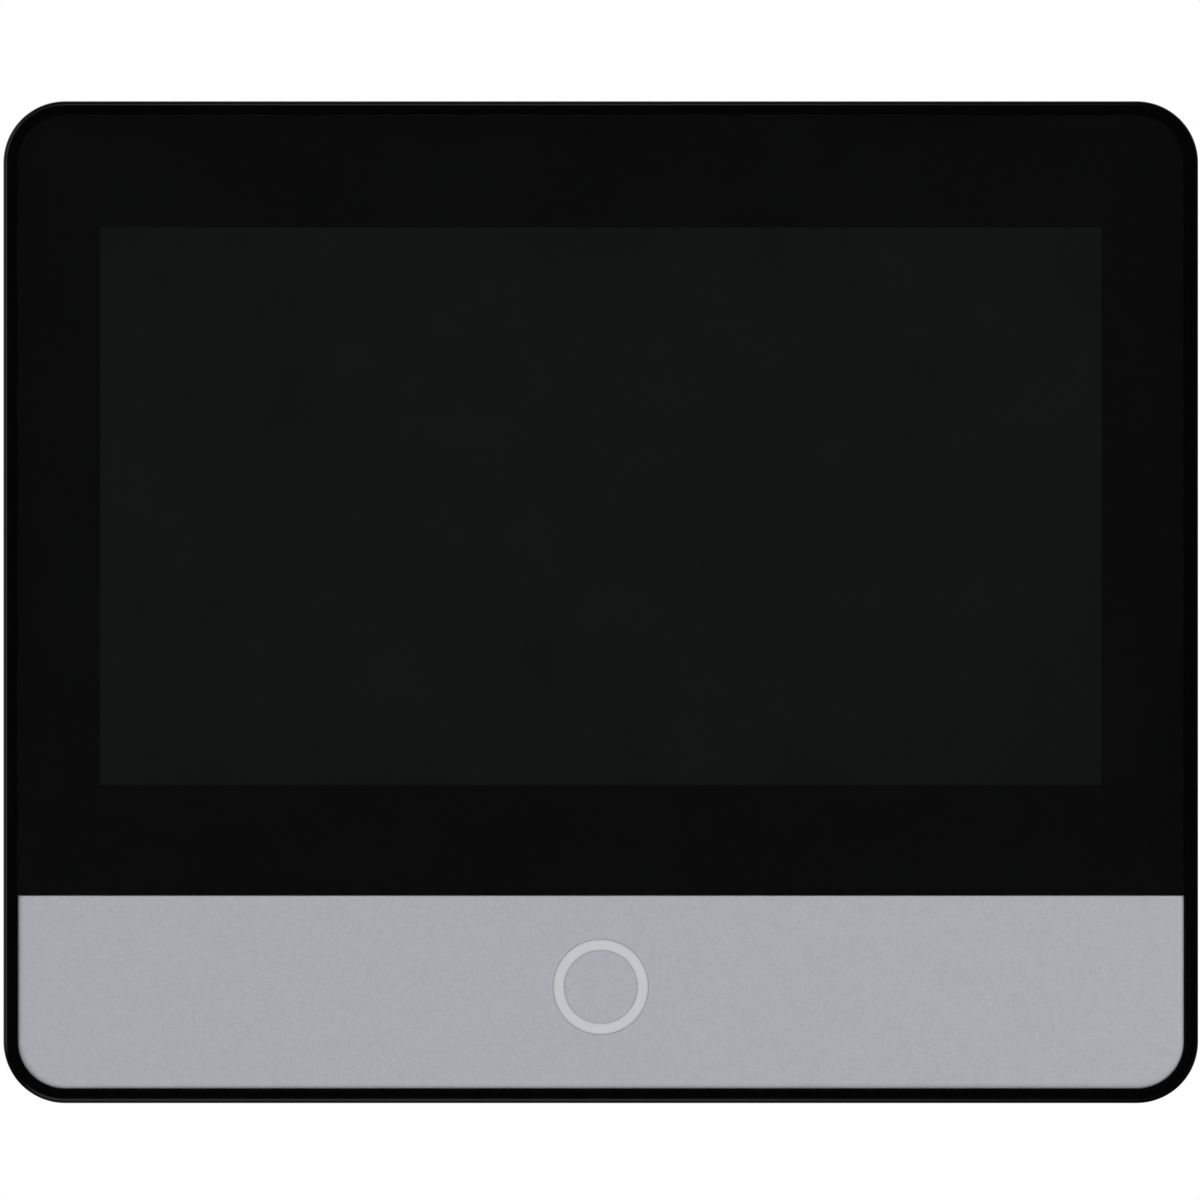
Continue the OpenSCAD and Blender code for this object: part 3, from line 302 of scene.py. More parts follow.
# Silver metallic paint: fine aluminium flakes that sparkle very slightly under the clear coat.
# The real flakes are 0.03 mm; they are drawn at 0.35 mm so that they show.
surface("silver_paint", "silver_metallic_paint", ("#B4B5BB", "#BDBEC4"), (0.40, 0.52), 0.35, 0.0015,
        kind=CELLS, read="Color", sockets={"Metallic": 0.25, "IOR": 1.5})
# Milk-white polycarbonate light guide: lets light in under its skin, and with the painted shade on its edges
# below, its edges look soft.
surface("light_diffuser", "milky_polycarbonate", ("#BFC0C4", "#C4C5C9"), (0.36, 0.44), 1.5,
        sockets={"IOR": 1.58, "Subsurface Weight": 0.25, "Subsurface Scale": 0.6 * MM,
                 "Subsurface Radius": (1, 1, 1)})


def shade_ring_edges(made):
    """Painted shade over the light ring's two edges, where it meets the cap and the band: its colour darkens
    there, so the edges look soft.
    """
    tree = made.node_tree
    shader = [node for node in tree.nodes if node.type == "BSDF_PRINCIPLED"][0]
    milk = shader.inputs["Base Color"].links[0].from_socket
    # Width over which the painted shade fades in at each edge of the ring.
    edge_shade = 0.4 * MM
    place = add(tree, "TexCoord").outputs["Object"]
    moved = add(tree, "VectorMath", {0: place, 1: (0, 0, KEY_Z * MM)}, operation="SUBTRACT")
    flat = add(tree, "VectorMath", {0: moved, 1: (1, 0, 1)}, operation="MULTIPLY")
    away = add(tree, "VectorMath", {0: flat}, operation="LENGTH").outputs["Value"]
    inner, outer = [
        add(tree, "MapRange", {"Value": away, "From Min": edge * MM, "From Max": edge * MM + way},
            interpolation_type="SMOOTHSTEP") for edge, way in ((CAP_R, edge_shade), (RING_R, -edge_shade))]
    clear = add(tree, "Math", {0: inner, 1: outer}, operation="MULTIPLY")
    # Painted shade: a darker grey at both edges of the ring, fading to its own milky colour in between.
    tint = add(tree, "Mix", {0: clear, 6: linear("#ABACB1"), 7: milk}, data_type="RGBA")
    tree.links.new(tint.outputs[2], shader.inputs["Base Color"])


shade_ring_edges(materials["light_diffuser"])

# Phosphor dome of a small lamp: pale yellow.
surface("led", "phosphor_lens", ("#E3D684", "#F0E8B0"), (0.2, 0.35), 0.4, 0.002)
# White flat cable: long ribs where the cores run.
surface("flat_cable", "flat_cable_film", ("#B9B9B7", "#DADAD8"), (0.35, 0.5), 1.0, 0.02, kind=LINES,
        settings={"bands_direction": "X"})
# Grey ABS of the reset button.
surface("button_grey", "grey_abs", ("#626367", "#727377"), (0.42, 0.55), 0.4, 0.01)
# Pressed aluminium of the microphone capsule.
surface("mic_can", "pressed_aluminium", ("#A9AAAC", "#BEBFC1"), (0.28, 0.4), 0.3, 0.003, sockets=METAL)
# Moulded EPDM rubber: dull, with a bloom.
surface("boot_rubber", "epdm_rubber", ("#1B1B1B", "#2B2B2B"), (0.72, 0.88), 0.6, 0.01)
# Black-painted steel basket of the loudspeaker.
surface("basket_steel", "black_painted_steel", ("#1F2022", "#2D2E31"), (0.36, 0.5), 0.8, 0.01)
# Pulp paper of the cone: soft fibres.
surface("cone_paper", "black_pulp_paper", ("#141416", "#28292C"), (0.8, 0.95), 0.6, 0.03,
        pattern={"Detail": 4.0})
# Zinc-chromated magnet cup.
surface("magnet_steel", "chromated_steel", ("#8A8C8D", "#A5A7A8"), (0.3, 0.42), 1.2, 0.004, sockets=METAL)
# PVC lead insulation.
surface("lead_insulation", "pvc_insulation", ("#6E1414", "#861C1C"), (0.4, 0.5), 0.5, 0.004)
# Blank polyester label film: satin silver with a fine metallised grain.
surface("label_film", "blank_polyester_film", ("#BFC1C4", "#CBCDD0"), (0.34, 0.46), 0.5, 0.001,
        sockets={"Metallic": 0.3})


def circuit_board():
    """Green solder mask over copper: tracks stand slightly proud and a shade lighter, with tinned vias.

    Real tracks are 0.15 mm wide; they are drawn at 0.5 mm so that they show.
    """
    area_size, track_pitch, via_pitch = 11 * MM, 1.3 * MM, 4.6 * MM
    made = bpy.data.materials.new("solder_masked_board")
    tree = blank(made)
    place = add(tree, "TexCoord").outputs["Object"]
    flat = add(tree, "Mapping", {"Vector": place, "Rotation": (math.pi / 2, 0, 0)})
    area = add(tree, CELLS, {"Vector": flat, "Scale": 1 / area_size},
               voronoi_dimensions="2D", distance="CHEBYCHEV")
    pick = add(tree, "SeparateColor", {0: area.outputs["Color"]})
    along, across = [add(tree, LINES, {"Vector": flat, "Scale": WAVE_REPEAT / track_pitch, "Distortion": 0.0},
                         bands_direction=axis).outputs["Fac"] for axis in ("X", "Y")]
    turned_way = add(tree, "Math", {0: pick, 1: 0.5}, operation="GREATER_THAN")
    lines = add(tree, "Mix", {0: turned_way, 2: along, 3: across})
    wanted = add(tree, "MapRange", {"Value": pick.outputs[1], "From Min": 0.3, "From Max": 0.35})
    track = add(tree, "MapRange", {"Value": lines, "From Min": 0.55, "From Max": 0.72})
    copper = add(tree, "Math", {0: track, 1: wanted}, operation="MULTIPLY")
    grid = add(tree, CELLS, {"Vector": flat, "Scale": 1 / via_pitch, "Randomness": 0.55},
               voronoi_dimensions="2D")
    via = add(tree, "MapRange", {
        "Value": grid.outputs["Distance"], "From Min": 0.075, "From Max": 0.09, "To Min": 1.0, "To Max": 0.0})
    mask = add(tree, "Mix", {0: copper, 6: linear("#0F4A29"), 7: linear("#1C6238")},
               data_type="RGBA")
    tint = add(tree, "Mix", {0: via, 6: mask.outputs[2], 7: linear("#A9A79A")},
               data_type="RGBA")
    height = add(tree, "Math", {0: copper, 1: via}, operation="MAXIMUM")
    bump = add(tree, "Bump", {"Height": height, "Distance": 0.03 * MM, "Strength": 1.0})
    dull = add(tree, "MapRange", {"Value": height, "To Min": 0.42, "To Max": 0.34})
    shader = add(tree, "BsdfPrincipled", {
        "Base Color": tint.outputs[2], "Roughness": dull, "Normal": bump})
    add(tree, "OutputMaterial", {"Surface": shader})
    materials["circuit_board"] = made


circuit_board()

# ---- Mesh making ----


def outline(w, h, r, x=0.0, z=0.0, steps=CORNER_STEPS):
    """Points of a rounded rectangle, anticlockwise from the right, as (x, z)."""
    points = []
    for turn, (sx, sz) in enumerate(((1, 1), (-1, 1), (-1, -1), (1, -1))):
        for i in range(steps + 1):
            a = math.radians(90 * (turn + i / steps))
            points.append((x + sx * (w / 2 - r) + r * math.cos(a), z + sz * (h / 2 - r) + r * math.sin(a)))
    return points


def arc(u, v, r, start, end, steps):
    """Points of an arc between two angles in degrees."""
    angles = [math.radians(start + (end - start) * i / steps) for i in range(steps + 1)]
    return [(u + r * math.cos(a), v + r * math.sin(a)) for a in angles]


def loft(bm, rings, closed=False):
    """Adds a solid through rings of points. Closed joins the last ring to the first."""
    rows = [[bm.verts.new(p) for p in ring] for ring in rings]
    pairs = list(zip(rows, rows[1:]))
    if closed:
        pairs.append((rows[-1], rows[0]))
    faces = []
    for low, high in pairs:
        for i in range(len(low)):
            j = (i + 1) % len(low)
            faces.append(bm.faces.new((low[i], low[j], high[j], high[i])))
    if not closed:
        faces.append(bm.faces.new(rows[0][::-1]))
        faces.append(bm.faces.new(rows[-1]))
    bmesh.ops.recalc_face_normals(bm, faces=faces)


def shell(bm, w, h, r, profile, z=0.0, x=0.0, steps=CORNER_STEPS):
    """Adds a rounded rectangular solid. The profile is (inset, y) from one cap to the other."""
    loft(bm, [[(px, y, pz) for px, pz in outline(w - 2 * inset, h - 2 * inset, r - inset, x, z, steps)]
              for inset, y in profile])


def block(bm, xs, ys, zs):
    """Adds a box given by its ranges."""
    loft(bm, [[(xs[0], y, zs[0]), (xs[1], y, zs[0]), (xs[1], y, zs[1]), (xs[0], y, zs[1])] for y in ys])


def turned(bm, x, z, profile, steps=48):
    """Adds a round solid about a y axis. The profile is (radius, y) from one cap to the other."""
    angles = [2 * math.pi * i / steps for i in range(steps)]
    loft(bm, [[(x + r * math.cos(a), y, z + r * math.sin(a)) for a in angles] for r, y in profile])


def bar(bm, x, z, y0, y1, r, steps=40):
    """Adds a round bar along y."""
    turned(bm, x, z, [(r, y0), (r, y1)], steps)


def upright(bm, x, y, z0, z1, r, steps=32):
    """Adds a round bar along z."""
    angles = [2 * math.pi * i / steps for i in range(steps)]
    loft(bm, [[(x + r * math.cos(a), y + r * math.sin(a), z) for a in angles] for z in (z0, z1)])


def stood_up(x, y, z):
    """Turns a shape that a tree made along z to face the room, at a place."""
    return Matrix(((1, 0, 0, x), (0, 0, -1, y), (0, 1, 0, z), (0, 0, 0, 1)))


def placed_object(name, data):
    """A new object in the scene, at the origin."""
    made = bpy.data.objects.new(name, data)
    scene.collection.objects.link(made)
    return made


def as_object(name, bm):
    """An object that holds a shape, still in mm."""
    mesh = bpy.data.meshes.new(name)
    bm.to_mesh(mesh)
    bm.free()
    return placed_object(name, mesh)


def settle(obj):
    """Gives an object the mesh that its modifiers make, and takes them off."""
    bpy.context.view_layer.update()
    mesh = bpy.data.meshes.new_from_object(obj.evaluated_get(bpy.context.evaluated_depsgraph_get()))
    obj.modifiers.clear()
    obj.data = mesh


def combine(obj, tool, operation):
    """Joins a tool shape to an object, or cuts it away."""
    other = tool if isinstance(tool, bpy.types.Object) else as_object("tool", tool)
    step = obj.modifiers.new("combine", "BOOLEAN")
    step.object = other
    step.operation = operation
    step.solver = "EXACT"
    step.use_self = True
    settle(obj)
    bpy.data.objects.remove(other)


# For pieces with large roundings, whose fine facets are almost flat to each other.
FINE_FLAT = 0.05


def clean(obj, flat=0.5):
    """Merges doubles, and dissolves edges between faces that are flat within an angle in degrees."""
    gap = 0.002
    bm = bmesh.new()
    bm.from_mesh(obj.data)
    bmesh.ops.remove_doubles(bm, verts=bm.verts, dist=gap)
    bmesh.ops.dissolve_limit(bm, angle_limit=math.radians(flat), verts=bm.verts, edges=bm.edges)
    bm.to_mesh(obj.data)
    bm.free()


def soften(obj, width, segments=2, angle=35):
    """Rounds an object's edges a little, so that they catch the light."""
    step = obj.modifiers.new("soften", "BEVEL")
    step.width = width
    step.segments = segments
    step.limit_method = "ANGLE"
    step.angle_limit = math.radians(angle)
    step.use_clamp_overlap = True
    settle(obj)


def hand_in(obj, body, nodes, slot, smooth=32):
    """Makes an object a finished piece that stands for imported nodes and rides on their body."""
    mesh = obj.data
    mesh.transform(Matrix.Scale(MM, 4))
    mesh.materials.clear()
    mesh.materials.append(materials[slot])
    for face in mesh.polygons:
        face.use_smooth = True
        face.material_index = 0
    mesh.set_sharp_from_angle(angle=math.radians(smooth))
    even = obj.modifiers.new("even", "WEIGHTED_NORMAL")
    even.keep_sharp = True
    even.weight = 100
    settle(obj)
    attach(obj, body)
    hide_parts(*nodes)


def face_outwards(obj):
    """Turns the faces of a closed shape outwards."""
    bm = bmesh.new()
    bm.from_mesh(obj.data)
    bmesh.ops.recalc_face_normals(bm, faces=bm.faces)
    bm.to_mesh(obj.data)
    bm.free()


# ---- Geometry node trees ----


def new_tree(name, sockets):
    """A geometry tree with its named inputs. Returns the tree and its group input."""
    tree = bpy.data.node_groups.new(name, "GeometryNodeTree")
    tree.interface.new_socket("Geometry", in_out="OUTPUT", socket_type="NodeSocketGeometry")
    for label, kind in sockets:
        tree.interface.new_socket(label, in_out="INPUT", socket_type="NodeSocket" + kind)
    return tree, tree.nodes.new("NodeGroupInput").outputs


def end_tree(tree, geometry, material):
    """Ends a tree: instances are made real and get their material."""
    real = add(tree, "GeometryNodeRealizeInstances", {0: geometry})
    dressed = add(tree, "GeometryNodeSetMaterial", {0: real, "Material": material})
    add(tree, "NodeGroupOutput", {0: dressed})


def grow(name, tree, values, places=None):
    """An object with the mesh that a tree makes from its input values, in mm."""
    holder = placed_object(name, places or bpy.data.meshes.new(name))
    step = holder.modifiers.new("tree", "NODES")
    step.node_group = tree
    for item in tree.interface.items_tree:
        if item.in_out == "INPUT" and item.name in values:
            step[item.identifier] = values[item.name]
    settle(holder)
    return holder


def swept_rim_tree():
    """A profile carried round a rounded rectangle."""
    tree, given = new_tree("swept_rim", (
        ("Width", "Float"), ("Height", "Float"), ("Corner radius", "Float"), ("Corner steps", "Int"),
        ("Profile", "Object"), ("Material", "Material")))
    path = add(tree, "GeometryNodeCurvePrimitiveQuadrilateral",
               {"Width": given["Width"], "Height": given["Height"]})
    rounded = add(tree, "GeometryNodeFilletCurve",
                  {"Curve": path, "Count": given["Corner steps"], "Radius": given["Corner radius"]},
                  mode="POLY")
    shape = add(tree, "GeometryNodeObjectInfo", {"Object": given["Profile"]})
    section = add(tree, "GeometryNodeMeshToCurve", {0: shape.outputs["Geometry"]})
    swept = add(tree, "GeometryNodeCurveToMesh",
                {"Curve": rounded, "Profile Curve": section})
    end_tree(tree, swept, given["Material"])
    return tree


def slot_row_tree():
    """A row of round-ended bars, each along z, used to cut a row of slots."""
    tree, given = new_tree("slot_row", (
        ("Count", "Int"), ("Pitch", "Float"), ("Slot width", "Float"), ("Slot height", "Float"),
        ("Depth", "Float"), ("Material", "Material")))
    section = add(tree, "GeometryNodeCurvePrimitiveQuadrilateral",
                  {"Width": given["Slot width"], "Height": given["Slot height"]})
    radius = add(tree, "Math", {0: given["Slot width"], 1: 0.49}, operation="MULTIPLY")
    rounded = add(tree, "GeometryNodeFilletCurve",
                  {"Curve": section, "Count": 6, "Radius": radius}, mode="POLY")
    up = add(tree, "CombineXYZ", {"Z": given["Depth"]})
    line = add(tree, "GeometryNodeCurvePrimitiveLine", {"Start": (0, 0, 0), "End": up})
    cutter = add(tree, "GeometryNodeCurveToMesh",
                 {"Curve": line, "Profile Curve": rounded, "Fill Caps": True})
    along = add(tree, "CombineXYZ", {"X": given["Pitch"]})
    row = add(tree, "GeometryNodeMeshLine", {"Count": given["Count"], "Offset": along})
    placed = add(tree, "GeometryNodeInstanceOnPoints", {"Points": row, "Instance": cutter})
    end_tree(tree, placed, given["Material"])
    return tree


def grille_tree():
    """Parallel bars clipped to a circle, used to cut a loudspeaker's grille."""
    tree, given = new_tree("grille", (
        ("Count", "Int"), ("Pitch", "Float"), ("Slot width", "Float"), ("Radius", "Float"),
        ("Depth", "Float"), ("Material", "Material")))
    width = add(tree, "Math", {0: given["Radius"], 1: 2.2}, operation="MULTIPLY")
    size = add(tree, "CombineXYZ",
               {"X": width, "Y": given["Slot width"], "Z": given["Depth"]})
    slat = add(tree, "GeometryNodeMeshCube", {"Size": size})
    step = add(tree, "CombineXYZ", {"Y": given["Pitch"]})
    row = add(tree, "GeometryNodeMeshLine", {"Count": given["Count"], "Offset": step})
    placed = add(tree, "GeometryNodeInstanceOnPoints", {"Points": row, "Instance": slat})
    real = add(tree, "GeometryNodeRealizeInstances", {0: placed})
    less = add(tree, "Math", {0: given["Count"], 1: 1.0}, operation="SUBTRACT")
    half = add(tree, "Math", {0: less, 1: -0.5}, operation="MULTIPLY")
    shift = add(tree, "Math", {0: half, 1: given["Pitch"]}, operation="MULTIPLY")
    offset = add(tree, "CombineXYZ", {"Y": shift})
    centred = add(tree, "GeometryNodeTransform", {0: real, "Translation": offset})
    disc = add(tree, "GeometryNodeMeshCylinder",
               {"Vertices": 72, "Radius": given["Radius"], "Depth": given["Depth"]})
    clip = add(tree, "GeometryNodeMeshBoolean", operation="INTERSECT", solver="EXACT")
    tree.links.new(disc.outputs[0], clip.inputs[1])
    tree.links.new(centred.outputs[0], clip.inputs[1])
    end_tree(tree, clip, given["Material"])
    return tree


def screw_tree():
    """Pan-head screws with a cross recess, one on each vertex. Tilt turns their heads from z to y."""
    tree, given = new_tree("screws", (
        ("Places", "Geometry"), ("Head radius", "Float"), ("Head height", "Float"), ("Shank radius", "Float"),
        ("Shank length", "Float"), ("Recess width", "Float"), ("Tilt", "Float"), ("Seed", "Int"),
        ("Material", "Material")))
    low = add(tree, "Math", {0: given["Head height"], 1: 0.5}, operation="MULTIPLY")
    crown_r = add(tree, "Math", {0: given["Head radius"], 1: 0.72}, operation="MULTIPLY")
    rim = add(tree, "GeometryNodeMeshCone", {
        "Vertices": 48, "Radius Top": given["Head radius"], "Radius Bottom": given["Head radius"],
        "Depth": low})
    crown = add(tree, "GeometryNodeMeshCone", {
        "Vertices": 48, "Radius Top": crown_r, "Radius Bottom": given["Head radius"],
        "Depth": low})
    up = add(tree, "CombineXYZ", {"Z": low})
    raised = add(tree, "GeometryNodeTransform", {0: crown, "Translation": up})
    shank = add(tree, "GeometryNodeMeshCylinder", {
        "Vertices": 32, "Radius": given["Shank radius"], "Depth": given["Shank length"]})
    down = add(tree, "Math", {0: given["Shank length"], 1: -0.5, 2: 0.05}, operation="MULTIPLY_ADD")
    sunk = add(tree, "CombineXYZ", {"Z": down})
    lowered = add(tree, "GeometryNodeTransform", {0: shank, "Translation": sunk})
    whole = add(tree, "GeometryNodeMeshBoolean", operation="UNION", solver="EXACT")
    for part in (rim, raised, lowered):
        tree.links.new(part.outputs[0], whole.inputs[1])
    arm = add(tree, "Math", {0: given["Head radius"], 1: 1.1}, operation="MULTIPLY")
    long_arm = add(tree, "CombineXYZ",
                   {"X": arm, "Y": given["Recess width"], "Z": given["Head height"]})
    cross_arm = add(tree, "CombineXYZ",
                    {"X": given["Recess width"], "Y": arm, "Z": given["Head height"]})
    cut = add(tree, "GeometryNodeMeshBoolean", {0: whole}, operation="DIFFERENCE", solver="EXACT")
    top = add(tree, "CombineXYZ", {"Z": given["Head height"]})
    for size in (long_arm, cross_arm):
        bit = add(tree, "GeometryNodeMeshCube", {"Size": size})
        placed_bit = add(tree, "GeometryNodeTransform", {0: bit, "Translation": top})
        tree.links.new(placed_bit.outputs[0], cut.inputs[1])
    lean = add(tree, "CombineXYZ", {"X": given["Tilt"]})
    laid = add(tree, "GeometryNodeTransform", {0: cut, "Rotation": lean})
    spin = add(tree, "FunctionNodeRandomValue", {"Seed": given["Seed"]}, data_type="FLOAT")
    spin.inputs[3].default_value = math.pi / 2
    turn = add(tree, "CombineXYZ", {"Y": spin.outputs[1]})
    placed = add(tree, "GeometryNodeInstanceOnPoints", {
        "Points": given["Places"], "Instance": laid, "Rotation": turn})
    end_tree(tree, placed, given["Material"])
    return tree


def lamp_ring_tree():
    """Small lamps in a circle in the xz plane, each turned to face the middle."""
    tree, given = new_tree("lamp_ring", (
        ("Count", "Int"), ("Radius", "Float"), ("Lamp size", "Float"), ("Lamp height", "Float"),
        ("Material", "Material")))
    circle = add(tree, "GeometryNodeMeshCircle", {"Vertices": given["Count"], "Radius": given["Radius"]})
    size = add(tree, "CombineXYZ",
               {"X": given["Lamp size"], "Y": given["Lamp size"], "Z": given["Lamp height"]})
    lamp = add(tree, "GeometryNodeMeshCube", {"Size": size})
    where = add(tree, "GeometryNodeInputPosition")
    facing = add(tree, "FunctionNodeAlignRotationToVector", {"Vector": where}, axis="X")
    placed = add(tree, "GeometryNodeInstanceOnPoints", {
        "Points": circle, "Instance": lamp, "Rotation": facing})
    end_tree(tree, placed, given["Material"])
    return tree


def coil_tree():
    """A coil spring along z."""
    tree, given = new_tree("coil", (
        ("Turns", "Float"), ("Radius", "Float"), ("Height", "Float"), ("Wire radius", "Float"),
        ("Material", "Material")))
    path = add(tree, "GeometryNodeCurveSpiral", {
        "Resolution": 32, "Rotations": given["Turns"], "Start Radius": given["Radius"],
        "End Radius": given["Radius"], "Height": given["Height"]})
    wire = add(tree, "GeometryNodeCurvePrimitiveCircle", {"Resolution": 12, "Radius": given["Wire radius"]})
    swept = add(tree, "GeometryNodeCurveToMesh", {
        "Curve": path, "Profile Curve": wire, "Fill Caps": True})
    end_tree(tree, swept, given["Material"])
    return tree


# ---- Front frame: polished rim and skirt ----


def front_frame_inside(made):
    """Adds the deck with its window and hooks' slots, the posts, and the holes in the underside."""
    post_top = DECK_BACK - 0.01
    solid = bmesh.new()
    shell(solid, BODY_W - SKIRT_T, BODY_H - SKIRT_T, BODY_R - SKIRT_T / 2,
          [(0, DECK_BACK), (0, DECK_FRONT)], BODY_Z)
    combine(made, solid, "UNION")
    posts = ((CORNER_SCREWS, -11.15, 3.2, 1.5), (TRAY_POSTS, TRAY_FRONT, 2.2, PILOT_R),
             (KEY_POSTS, KEY_BOARD_FRONT, 2.4, PILOT_R))
    solid = bmesh.new()
    for places, back, post_r, _ in posts:
        for x, z in places:
            bar(solid, x, z, back, post_top, post_r)
    combine(made, solid, "UNION")
    cut = bmesh.new()
    through = (DECK_FRONT - 1, DECK_BACK + 1.4)
    pilot_end = DECK_FRONT + 0.6
    window_x, window_z = (-82.8, 82.8), (-51.95, 48.65)
    notch_x, notch_z = (-37, 5), (-53.85, -51)
    block(cut, window_x, through, window_z)
    block(cut, notch_x, through, notch_z)
    bar(cut, 0, KEY_Z, *through, KEY_WELL_R, 64)
    for x, z in BAND_HOOKS:
        block(cut, (x - 2.2, x + 2.2), through, (z - 1, z + 1))
    for places, back, _, pilot_r in posts:
        for x, z in places:
            bar(cut, x, z, pilot_end, back + 1, pilot_r)
    for x, y, r in ((22, MIC_Y, 0.6), (-22, RESET_Y, 1.3)):
        upright(cut, x, y, body_low.z - 1, body_low.z + SKIRT_T + 1, r)
    combine(made, cut, "DIFFERENCE")


def front_frame():
    """The rim and skirt are swept; the deck, posts and holes follow."""
    lip = RIM_W - 0.15
    inner_edge, outer_edge, back_edge = 0.03, 0.8, 0.4
    seat = DECK_FRONT + 0.5
    profile = [(lip, seat)]
    profile += arc(lip - inner_edge, RIM_FRONT + inner_edge, inner_edge, 0, -90, 3)
    profile += arc(outer_edge, RIM_FRONT + outer_edge, outer_edge, 270, 180, 14)
    profile += [(0.0, SPLIT - back_edge), (0.12, SPLIT - 0.12), (back_edge, SPLIT), (SKIRT_T, SPLIT),
                (SKIRT_T, seat)]
    line = bpy.data.meshes.new("rim_profile")
    count = len(profile)
    line.from_pydata([(-inset, y, 0) for inset, y in profile],
                     [(i, (i + 1) % count) for i in range(count)], [])
    section = placed_object("rim_profile", line)
    made = grow("front_frame_piece", swept_rim_tree(), {
        "Width": BODY_W, "Height": BODY_H, "Corner radius": BODY_R, "Corner steps": CORNER_STEPS,
        "Profile": section, "Material": materials["rim_abs"]})
    bpy.data.objects.remove(section)
    made.data.transform(stood_up(0, 0, BODY_Z))
    face_outwards(made)
    front_frame_inside(made)
    clean(made, FINE_FLAT)
    hand_in(made, "monitor", ["front_frame"], "rim_abs")


front_frame()

# ---- Glass and silver band ----


def front_plate(back, r, steps, chamfer):
    """A plate over the whole front, whose front edge is round and whose back edge has a chamfer."""
    bm = bmesh.new()
    edge = arc(r, FRONT + r, r, 180, 270, steps)
    shell(bm, PANEL_W, PANEL_H, PANEL_R,
          [(0.5, back), (chamfer, back), (0, back - chamfer)] + edge + [(r + 0.3, FRONT)], BODY_Z)
    return bm


def part_at_seam(bm, keep_above, edge):
    """Cuts a plate at the seam and rounds the cut's front edge."""
    side = 1 if keep_above else -1
    z = SEAM_Z + side * SEAM_GAP / 2
    geometry = bm.verts[:] + bm.edges[:] + bm.faces[:]
    made = bmesh.ops.bisect_plane(bm, geom=geometry, plane_co=(0, 0, z), plane_no=(0, 0, side),
                                  clear_inner=True)
    bmesh.ops.holes_fill(bm, edges=[g for g in made["geom_cut"] if isinstance(g, bmesh.types.BMEdge)])
    if edge:
        front_cut = [e for e in bm.edges
                     if all(abs(v.co.z - z) < 1e-4 and v.co.y < FRONT + 0.5 for v in e.verts)]
        bmesh.ops.bevel(bm, geom=front_cut, offset=edge, segments=3, profile=0.5, affect="EDGES")
    bmesh.ops.recalc_face_normals(bm, faces=bm.faces)


def cover_glass():
    bm = front_plate(glass_high.y - INK_GAP, GLASS_EDGE_R, 4, 0.01)
    part_at_seam(bm, True, 0.06)
    hand_in(as_object("cover_glass_piece", bm), "monitor", ["cover_glass"], "cover_glass")


def glass_print():
    """The ink on the back of the glass: it runs out to the glass's edge and leaves the display clear."""
    front = box_mm("glass_print")[0].y
    back = front + INK_THICK
    bm = bmesh.new()
    shell(bm, PANEL_W - 0.1, PANEL_H - 0.1, PANEL_R - 0.05, [(0, front), (0, back)], BODY_Z)
    part_at_seam(bm, True, 0)
    made = as_object("glass_print_piece", bm)
    window = bmesh.new()
    block(window, (-SCREEN_W / 2, SCREEN_W / 2), (front - 1, back + 1),
          (SCREEN_Z - SCREEN_H / 2, SCREEN_Z + SCREEN_H / 2))
    combine(made, window, "DIFFERENCE")
    hand_in(made, "monitor", ["glass_print"], "black_print")


def fascia():
    """The silver band, with the key's hole and the snap hooks on its back."""
    bm = front_plate(DECK_FRONT, BAND_EDGE_R, 16, 0.1)
    part_at_seam(bm, False, 0.16)
    made = as_object("fascia_piece", bm)
    hooks, barbs = bmesh.new(), bmesh.new()
    tip = -17.5
    for x, z in BAND_HOOKS:
        left, right = x - 2, x + 2
        block(hooks, (left, right), (DECK_FRONT - 0.2, tip), (z - 0.8, z + 0.8))
        loft(barbs, [[(left, y, low), (right, y, low), (right, y, z), (left, y, z)]
                     for y, low in ((tip - 0.8, z - 1.6), (tip, z - 1.0))])
    combine(made, hooks, "UNION")
    combine(made, barbs, "UNION")
    hole = bmesh.new()
    turned(hole, 0, KEY_Z, [(KEY_HOLE_R, DECK_FRONT + 1), (KEY_HOLE_R, FRONT + HOLE_EDGE),
                            (KEY_HOLE_R + 2 * HOLE_EDGE, FRONT - HOLE_EDGE)], ROUND_STEPS)
    combine(made, hole, "DIFFERENCE")
    clean(made, FINE_FLAT)
    hand_in(made, "monitor", ["fascia"], "silver_paint")


def ring_key():
    """The light ring and the cap inside it."""
    bm = bmesh.new()
    inner, outer = CAP_R + 0.02, RING_R
    flange_r, bore_r, flange_front, seat = 9.2, 3.2, -19.9, -20.2
    profile = [(inner, FRONT + KEY_EDGE), (inner + KEY_EDGE, FRONT), (outer - KEY_EDGE, FRONT),
               (outer, FRONT + KEY_EDGE), (outer, flange_front), (flange_r, flange_front),
               (flange_r, ring_high.y), (bore_r, ring_high.y), (bore_r, seat), (inner, seat)]
    angles = [2 * math.pi * i / ROUND_STEPS for i in range(ROUND_STEPS)]
    loft(bm, [[(r * math.cos(a), y, KEY_Z + r * math.sin(a)) for a in angles] for r, y in profile],
         closed=True)
    hand_in(as_object("light_ring_piece", bm), "ring_key", ["light_ring"], "light_diffuser")
    bm = bmesh.new()
    stem_r = 2.0
    turned(bm, 0, KEY_Z, [
        (stem_r - 0.1, cap_back), (stem_r, cap_back - 0.1), (stem_r, seat), (CAP_R - 0.1, seat),
        (CAP_R, seat - 0.1), (CAP_R, FRONT + KEY_EDGE), (CAP_R - KEY_EDGE, FRONT), (CAP_R - 0.5, FRONT)],
        ROUND_STEPS)
    hand_in(as_object("key_cap_piece", bm), "ring_key", ["key_cap"], "silver_paint")


cover_glass()
glass_print()
fascia()
ring_key()

# ---- Rear cover ----

